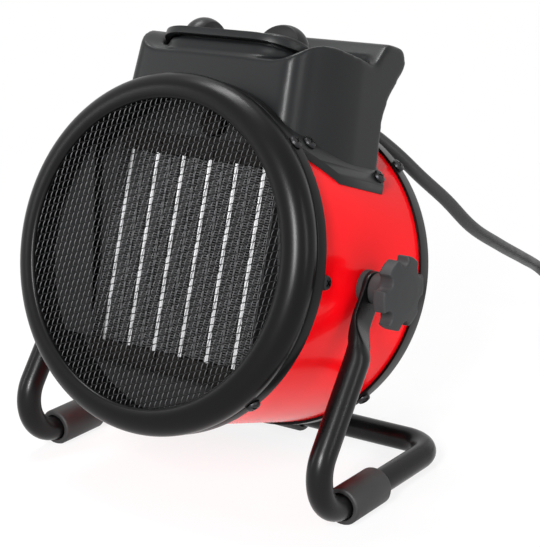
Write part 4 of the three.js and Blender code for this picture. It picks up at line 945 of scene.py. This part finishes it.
def housing_flange():
    """The saddle that the housing stands on: sheet-like, with its edge broken all round."""
    saddle = turned("housing_flange", [(SEAT, 9), (SEAT + 3.1, 9), (SEAT + 3.1, 108), (SEAT, 108)], 192)
    combine(saddle, "INTERSECT", prism("flange", flange_plan(), plan, 40, TOP))
    inside = prism("inside", [(x * 0.93, 20 + (y - 18) * 0.955) for x, y in wall_plan()], plan, FOOT, TOP)
    combine(saddle, "DIFFERENCE", inside)
    soften(saddle, 0.8 * MM, 3, 45)
    smooth(saddle, 40)
    put(settle(saddle, DRUM), "barrel", HOUSING, "black_plastic", "handle_housing")


# ---------- panel and knobs


# for each knob its place across the panel and the way its grip points
KNOB_SEATS = {"thermostat": (-30, math.pi / 2), "selector": (30, 0)}
KNOB_DEPTH = 29


def panel_plan(inset):
    half = 55 - inset
    corner = 30 - inset
    left = arc_points((-half + corner, inset + corner), (corner, corner), 180, 270, 16)
    right = arc_points((half - corner, inset + corner), (corner, corner), 270, 360, 16)
    return [*left, *right, (half, 50 - inset), (-half, 50 - inset)]


def round_tool(name, centre, radius, view, low, high):
    return prism(name, arc_points(centre, (radius, radius), 0, 345, 23), view, low, high)


def control_panel():
    """A plate with a skirt that reaches down into the housing."""
    plate = prism("panel", panel_plan(0), plan, -4.6, 0)
    pocket = prism("pocket", panel_plan(4), plan, -12, -3.4)
    combine(plate, "DIFFERENCE", pocket, box("rear_room", -60, 60, 30, 60, -12, -4))
    skirt = prism("skirt", panel_plan(8), plan, -29, -2)
    combine(skirt, "DIFFERENCE", prism("inside", panel_plan(10.5), plan, -31, -4))
    floor = prism("floor", [(-50, -80), (150, -80), (150, -19.7), (-50, -19.7)], side_view, -60, 60)
    floor.data.transform(Matrix.Rotation(PANEL_FALL, 4, "X"))
    combine(skirt, "DIFFERENCE", floor)
    combine(plate, "UNION", skirt)
    for x, _ in KNOB_SEATS.values():
        combine(plate, "DIFFERENCE", round_tool("hole", (x, KNOB_DEPTH), 3.6, plan, -10, 3))
    soften(plate, 1.6 * MM, 4, 50)
    smooth(plate, 40)
    put(settle(plate, PANEL), "barrel", HOUSING, "black_plastic", "control_panel")


def turn_knob(name, x, turn):
    """A round skirt with a half round grip across it."""
    profile = [(0, 0.4), (17.6, 0.4), (18, 0.8), (18, 2.6), (17.4, 3.6), (16.6, 4.2), (12, 4.6), (0, 4.6)]
    skirt = turned(f"{name}_knob_skirt", profile, 72, closed=False)
    skirt.data.transform(Matrix.Rotation(math.pi / 2, 4, "X"))
    grip = turned("grip", arc_points((0, 0), (17.5, 17.5), -90, 90, 30), 64, closed=False)
    grip.data.transform(Matrix.Diagonal((1, 0.74, 0.89, 1)))
    combine(grip, "INTERSECT", box("above", -20, 20, -6.6, 6.6, 1, 30))
    soften(grip, 0.8 * MM, 3, 50)
    combine(skirt, "UNION", grip)
    for v in skirt.data.vertices:
        v.co.z = abs(v.co.z)
    tidy(skirt)
    smooth(skirt, 40)
    seat = PANEL @ Matrix.Translation((x * MM, KNOB_DEPTH * MM, 0)) @ Matrix.Rotation(turn, 4, "Z")
    put(settle(skirt, seat), name, KNOBS, "black_plastic", f"{name}_knob")


# ---------- pivots, screws and gland


def about_x(name, profile, steps):
    """A piece spun about the pivot's axis."""
    piece = turned(name, profile, steps, closed=False)
    piece.data.transform(Matrix.Rotation(-math.pi / 2, 4, "Z"))
    return piece


def star_knob(side, sign):
    """Six rounded lobes with deep round notches, a domed face and a hub behind."""
    head = about_x(f"star_{side}", [(0, 123.4), (22.6, 123.4), (22.6, 134.6), (0, 134.6)], 96)
    for k in range(6):
        angle = math.radians(30 + 60 * k)
        at = (22.0 * math.cos(angle), 22.0 * math.sin(angle))
        combine(head, "DIFFERENCE", round_tool("notch", at, 5, side_view, 100, 140))
    dome = [(0, 115), (26, 115), (26, 130.6), (20, 132.4), (12, 133.6), (0, 134.0)]
    hub = [(0, 111.1), (9.6, 111.1), (9.9, 118), (10.8, 121.5), (12.5, 124.5), (0, 124.5)]
    stud = [(0, 96.8), (3.1, 96.8), (3.1, 112), (0, 112)]
    combine(head, "INTERSECT", about_x("dome", dome, 64))
    combine(head, "UNION", about_x("hub", hub, 48), about_x("stud", stud, 24))
    mould(head, 0.6, 9)
    turn = Matrix.Rotation(0 if sign > 0 else math.pi, 4, "Z")
    put(settle(head, AT_PIVOT @ turn), f"star_{side}", STAR, "black_plastic", f"star_knob_{side}")


def spacer(side, sign):
    profile = [(4, 104.0), (10.3, 104.0), (10.7, 104.4), (10.7, 107.2), (10.3, 107.6), (4, 107.6)]
    ring = turned(f"spacer_{side}", profile, 48)
    turn = Matrix.Rotation(-sign * math.pi / 2, 4, "Z")
    put(settle(smooth(ring, 40), AT_PIVOT @ turn), "barrel", STAR, "black_plastic", f"pivot_spacer_{side}")


def screw_model():
    """Pan head with a cross recess, seat at nought, pointing up."""
    profile = [(0, -4), (1.8, -4), (1.8, 0.3), (4.2, 0.3), (4.5, 0.6), (4.45, 1.2), (3.9, 2.1)]
    profile += [(2.6, 2.6), (0, 2.75)]
    head = turned("screw", profile, 28, closed=False)
    head.data.transform(Matrix.Rotation(math.pi / 2, 4, "X"))
    slot_a = box("cross", -2.6, 2.6, -0.45, 0.45, 1.1, 4)
    slot_b = box("cross", -0.45, 0.45, -2.6, 2.6, 1.1, 4)
    combine(head, "DIFFERENCE", slot_a, slot_b)
    smooth(tidy(head), 35)
    return head


# for each row the height of its seat, and each screw's angle about the axis and depth along it
SCREW_ROWS = {
    "ring_screw": (109.3, [(45, 8.8), (135, 8.8), (225, 8.8), (315, 8.8)]),
    "rear_screw": (105.6, [(43, 138.1), (135, 138.1), (225, 138.1), (317, 138.1)]),
    "flange_screw": (107.0, [(42.29, 31.3), (51.07, 97.9), (-42.29, 31.3), (-51.07, 97.9)]),
    "side_screw": (103.6, [(90, 23.4), (270, 23.4)]),
}


def screws():
    model = screw_model()
    for row, (seat, places) in SCREW_ROWS.items():
        for k, (angle, depth) in enumerate(places, 1):
            piece = twin(model, f"{row}_{k}_head")
            along = Matrix.Translation((0, depth * MM, 0))
            around = Matrix.Rotation(math.radians(angle), 4, "Y")
            twist = Matrix.Rotation(math.radians(37 * k + 11), 4, "Z")
            place = along @ around @ Matrix.Translation((0, 0, seat * MM)) @ twist
            put(settle(piece, DRUM @ place), "barrel", SCREWS, "satin_black", f"{row}_{k}")
    bpy.data.objects.remove(model)


def cable_gland():
    """Tapered strain relief with ribs."""
    profile = [(0, 91), (5.5, 91), (5.5, 102.3), (8.7, 102.3), (9, 102.6), (9, 104.4), (8.6, 104.8)]
    for k in range(7):
        start = 106.0 + k * 3.6
        outer = 7.5 - 0.15 * k
        profile += [(outer - 1.0, start - 0.6), (outer - 0.15, start), (outer, start + 0.3)]
        profile += [(outer, start + 1.9), (outer - 0.15, start + 2.2)]
    profile += [(5.5, 131.6), (5.5, 132.3), (0, 132.3)]
    gland = turned("strain_relief", profile, 40, closed=False)
    put(settle(smooth(gland, 40), DRUM @ AT_GLAND), "barrel", RUBBER, "rubber", "cable_gland")


# ---------- stand


TUBE_R = 8.0
HALF = 115.7
RAIL = 12 - 0.6 - 136
REAR = 69
BEND = 25.0
CORNER = 22
EYE = 10.4
FLAT_HALF = 1.5
EYE_MIDDLE = HALF - TUBE_R + 0.3 + FLAT_HALF
FLAT_POWER = 9
FLAT_END = 20
TUBE_SIDES = 32
SLEEVE_FLAT = -11.4


def leg_line():
    """The leg from the pivot: the middle of the bend below it, its direction and its length."""
    centre = Vector((0, BEND - 68, RAIL + BEND))
    away = centre.length
    slope = math.atan2(centre.z, centre.y) - math.asin(BEND / away)
    return centre, Vector((0, math.cos(slope), math.sin(slope))), math.sqrt(away**2 - BEND**2)


def half_line():
    """From the end of the flattened part to the middle of the rear crossbar."""
    centre, direction, length = leg_line()
    first = (direction * length - centre).normalized()
    bend_angle = math.acos(-first.z)
    bend = []
    for k in range(29):
        a = bend_angle * k / 28
        bend.append(centre + first * (BEND * math.cos(a)) + direction * (BEND * math.sin(a)))
    corner = []
    for k in range(17):
        a = math.pi / 2 * k / 16
        corner.append(Vector((CORNER * math.cos(a) - CORNER, REAR - CORNER + CORNER * math.sin(a), RAIL)))
    start = direction * 48
    leg = [start.lerp(bend[0], k / 4) for k in range(4)]
    rail = [bend[-1].lerp(corner[0], k / 6) for k in range(1, 6)]
    side = [p + Vector((HALF, 0, 0)) for p in [*leg, *bend, *rail, *corner]]
    return [*side, Vector((HALF / 2, REAR, RAIL)), Vector((0, REAR, RAIL))]


def pressed_ring(direction, place, wide, thick, power=FLAT_POWER, crease=0.0):
    """A section of the leg, from flat (high power) to round (power 2), with a dent outside."""
    distance, x = place
    across = Vector((0, -direction.z, direction.y))
    outward = across.cross(direction)
    centre = direction * distance + Vector((x, 0, 0))
    row = []
    for k in range(TUBE_SIDES):
        a = 2 * math.pi * k / TUBE_SIDES
        c = math.cos(a)
        s = math.sin(a)
        u = math.copysign(abs(c) ** (2 / power), c)
        v = math.copysign(abs(s) ** (2 / power), s)
        dent = crease * max(0.0, 1 - (u / 0.55) ** 2) if v > 0 else 0.0
        row.append(centre + across * (wide * u) + outward * (thick * v - dent))
    return row


def pressed_end(direction):
    """The flat eye at the pivot, cut round, and the creased part where the tube becomes round."""
    rings = []
    for share in (0.999, 0.985, 0.95, 0.88, 0.76, 0.6, 0.4, 0.2, 0.0):
        wide = EYE * math.sqrt(1 - share**2)
        rings.append(pressed_ring(direction, (-EYE * share, EYE_MIDDLE), wide, FLAT_HALF))
    for distance in (8, 14, FLAT_END):
        rings.append(pressed_ring(direction, (distance, EYE_MIDDLE), EYE, FLAT_HALF))
    for k in range(1, 9):
        t = k / 9
        ease = t * t * (3 - 2 * t)
        wide = EYE + (TUBE_R - EYE) * t
        thick = FLAT_HALF + (TUBE_R - FLAT_HALF) * ease
        place = (FLAT_END + 27 * t, EYE_MIDDLE + (HALF - EYE_MIDDLE) * ease)
        power = FLAT_POWER + (2 - FLAT_POWER) * min(1, t * 1.5)
        crease = 2.8 * math.sin(math.pi * t) ** 1.5
        rings.append(pressed_ring(direction, place, wide, thick, power, crease))
    return rings


def round_rings(line, across):
    """Round sections along a line, carried without twist, the last one square to the crossbar."""
    rings = []
    carried = across.copy()
    for i, p in enumerate(line):
        tangent = tangent_at(line, i) if i < len(line) - 1 else Vector((-1, 0, 0))
        carried = (carried - tangent * carried.dot(tangent)).normalized()
        rings.append(circle(p, carried, carried.cross(tangent), TUBE_R, TUBE_SIDES))
    return rings


def stand_tube():
    """Bent tube with pressed ends, made for one side and mirrored."""
    direction = leg_line()[1]
    across = Vector((0, -direction.z, direction.y))
    rings = pressed_end(direction) + round_rings(half_line(), across)
    rings += [[Vector((-p.x, p.y, p.z)) for p in row] for row in reversed(rings[:-1])]
    faces = []
    join_rings(faces, 0, len(rings), TUBE_SIDES)
    close_ends(faces, 0, len(rings), TUBE_SIDES)
    tube = outwards(from_points("bent_tube", [p * MM for row in rings for p in row], faces=faces))
    hole = turned("eye_hole", [(0, -130), (4, -130), (4, 130), (0, 130)], 32, closed=False)
    hole.data.transform(Matrix.Rotation(math.pi / 2, 4, "Z"))
    combine(tube, "DIFFERENCE", hole)
    smooth(tidy(tube), 42)
    put(settle(tube, AT_PIVOT), "stand", TUBE, "black_paint", "stand_tube")


def foot_sleeve(name, node, length, place):
    """Rubber sleeve with rolled ends and a flat where it stands."""
    outer = 12.0
    bore = 8.35
    profile = [(bore, 0.6), (bore + 0.6, 0), (outer - 1.4, 0), (outer - 0.5, 0.4), (outer, 1.4)]
    profile += [(outer, length - 1.4), (outer - 0.5, length - 0.4), (outer - 1.4, length)]
    profile += [(bore + 0.6, length), (bore, length - 0.6)]
    sleeve = turned(name, profile, 64)
    for v in sleeve.data.vertices:
        v.co.z = max(v.co.z, SLEEVE_FLAT * MM)
    put(settle(smooth(sleeve, 40), AT_PIVOT @ place), "stand", RUBBER, "rubber", node)


def feet():
    for side, sign in (("left", -1), ("right", 1)):
        place = Matrix.Translation(Vector((sign * HALF, -45, RAIL)) * MM)
        foot_sleeve(f"sleeve_{side}", f"foot_sleeve_{side}", 39, place)
    place = Matrix.Translation(Vector((12, REAR, RAIL)) * MM) @ Matrix.Rotation(math.pi / 2, 4, "Z")
    foot_sleeve("sleeve_rear", "rear_foot", 24, place)


# ---------- carried over from the model


BODY_OF = {n: b for b, members in frame["record"]["behaviour"]["bodies"].items() for n in members}
# finishes and slots of the pieces that keep their shape, and how wide their edges are broken
DRESSED = [
    (FAN, "black_plastic", {"rear_guard": 0.4, "fan_impeller": 0.3}),
    (ZINC, "steel", {"motor_housing": 0.3, "motor_bracket": 0.3, "motor_rotor": 0}),
    (SHEET, "grey_sheet", {"heater_baffle": 0}),
    (INSULATOR, "insulator", {"ptc_end_bar_top": 0.4, "ptc_end_bar_bottom": 0.4, "thermal_cutout": 0.4}),
    (INSULATOR, "insulator", {"terminal_block": 0.6, "thermostat_body": 0.5, "selector_switch": 0.5}),
    (ZINC, "steel", {"thermostat_spindle": 0, "selector_spindle": 0}),
    (ZINC, "steel", {"pivot_nut_left": 0.3, "pivot_nut_right": 0.3}),
]


def finish_node(name, finish):
    """A node whose shape is right keeps it and gets a finish."""
    obj = frame["nodes"][name]
    obj.data.materials.clear()
    obj.data.materials.append(finish)


# ---------- studio


# for each lamp its place, its size and its power
LAMPS = {
    "key": ((0.66, -1.88, 1.12), (0.36, 0.8), 66),
    "side": ((1.9, -0.1, 0.9), (0.3, 1.0), 8),
    "top": ((-0.45, 0.15, 1.88), (1.0, 0.35), 26),
    "left": ((-1.5, -1.3, 0.9), (0.3, 1.0), 6),
}
WORLD_LIGHT = 0.2


def area_light(name, place, size, power):
    """A rectangular lamp that faces the heater's middle."""
    data = bpy.data.lights.new(name, "AREA")
    data.shape = "RECTANGLE"
    data.size, data.size_y = size
    data.energy = power
    obj = link(bpy.data.objects.new(name, data))
    obj.location = place
    obj.rotation_euler = (Vector((0, 0, 0.15)) - Vector(place)).to_track_quat("-Z", "Y").to_euler()


def white_floor():
    """Pale card: it keeps a faint shadow near the heater and runs out to plain white."""
    f = Finish("floor_card", Roughness=1.0, Specular_IOR_Level=0.0)
    grain = f.noise(90, 2)
    f.set("Base Color", f.blend(grain, (0.93, 0.93, 0.93), (0.95, 0.95, 0.95)))
    far = f.between(f.reach(f.place, (1, 1, 0)), 0.25, 0.95)
    path = f.node("ShaderNodeLightPath").outputs
    seen = Level(f, path["Is Camera Ray"]) + path["Is Glossy Ray"] + path["Is Transmission Ray"]
    white = f.node("ShaderNodeEmission", None, {"Color": (1, 1, 1), "Strength": 1.0})
    amount = seen * (0.85 + far * 0.15)
    mix = f.node("ShaderNodeMixShader", None, {0: amount, 1: f.shader.outputs[0], 2: white.outputs[0]})
    f.tree.links.new(mix.outputs[0], f.tree.nodes["Material Output"].inputs[0])
    return f.material


def background(node, strength):
    node.inputs[0].default_value = (1, 1, 1, 1)
    node.inputs[1].default_value = strength
    return node.outputs[0]


def white_world():
    """White to the camera and to reflections, but only a weak light on the heater."""
    world = bpy.data.worlds.new("studio")
    bpy.context.scene.world = world
    world.use_nodes = True
    tree = world.node_tree
    path = tree.nodes.new("ShaderNodeLightPath")
    seen = path.outputs["Is Camera Ray"]
    for other in ("Is Glossy Ray", "Is Transmission Ray"):
        either = tree.nodes.new("ShaderNodeMath")
        either.operation = "MAXIMUM"
        tree.links.new(seen, either.inputs[0])
        tree.links.new(path.outputs[other], either.inputs[1])
        seen = either.outputs[0]
    mix = tree.nodes.new("ShaderNodeMixShader")
    tree.links.new(seen, mix.inputs[0])
    tree.links.new(background(tree.nodes["Background"], WORLD_LIGHT), mix.inputs[1])
    tree.links.new(background(tree.nodes.new("ShaderNodeBackground"), 1.0), mix.inputs[2])
    tree.links.new(mix.outputs[0], tree.nodes["World Output"].inputs[0])


def studio():
    for name, (place, size, power) in LAMPS.items():
        area_light(name, place, size, power)
    bpy.ops.object.select_all(action="DESELECT")
    bpy.ops.mesh.primitive_plane_add(size=12, location=(0, 0, -0.0005))
    floor = bpy.context.object
    floor.name = "floor"
    bpy.ops.object.transform_apply(location=True, rotation=True, scale=True)
    floor.data.materials.append(white_floor())
    white_world()
    bpy.context.scene.view_settings.view_transform = "Standard"


# ---------- the heater

camera()
cord(CORD)
drum_shell()
front_ring()
rear_ring()
front_mesh()
mesh_clamp()
heating_pack()
handle_housing()
housing_flange()
control_panel()
for name, (x, turn) in KNOB_SEATS.items():
    turn_knob(name, x, turn)
for side, sign in (("left", -1), ("right", 1)):
    star_knob(side, sign)
    spacer(side, sign)
screws()
cable_gland()
stand_tube()
feet()
for finish, slot, bevels in DRESSED:
    for node, bevel in bevels.items():
        dress(node, finish, slot, bevel)
for node in ("cord_tie", "plug_body", "plug_pin_left", "plug_pin_right"):
    finish_node(node, ZINC if "pin" in node else CORD)
studio()

import json
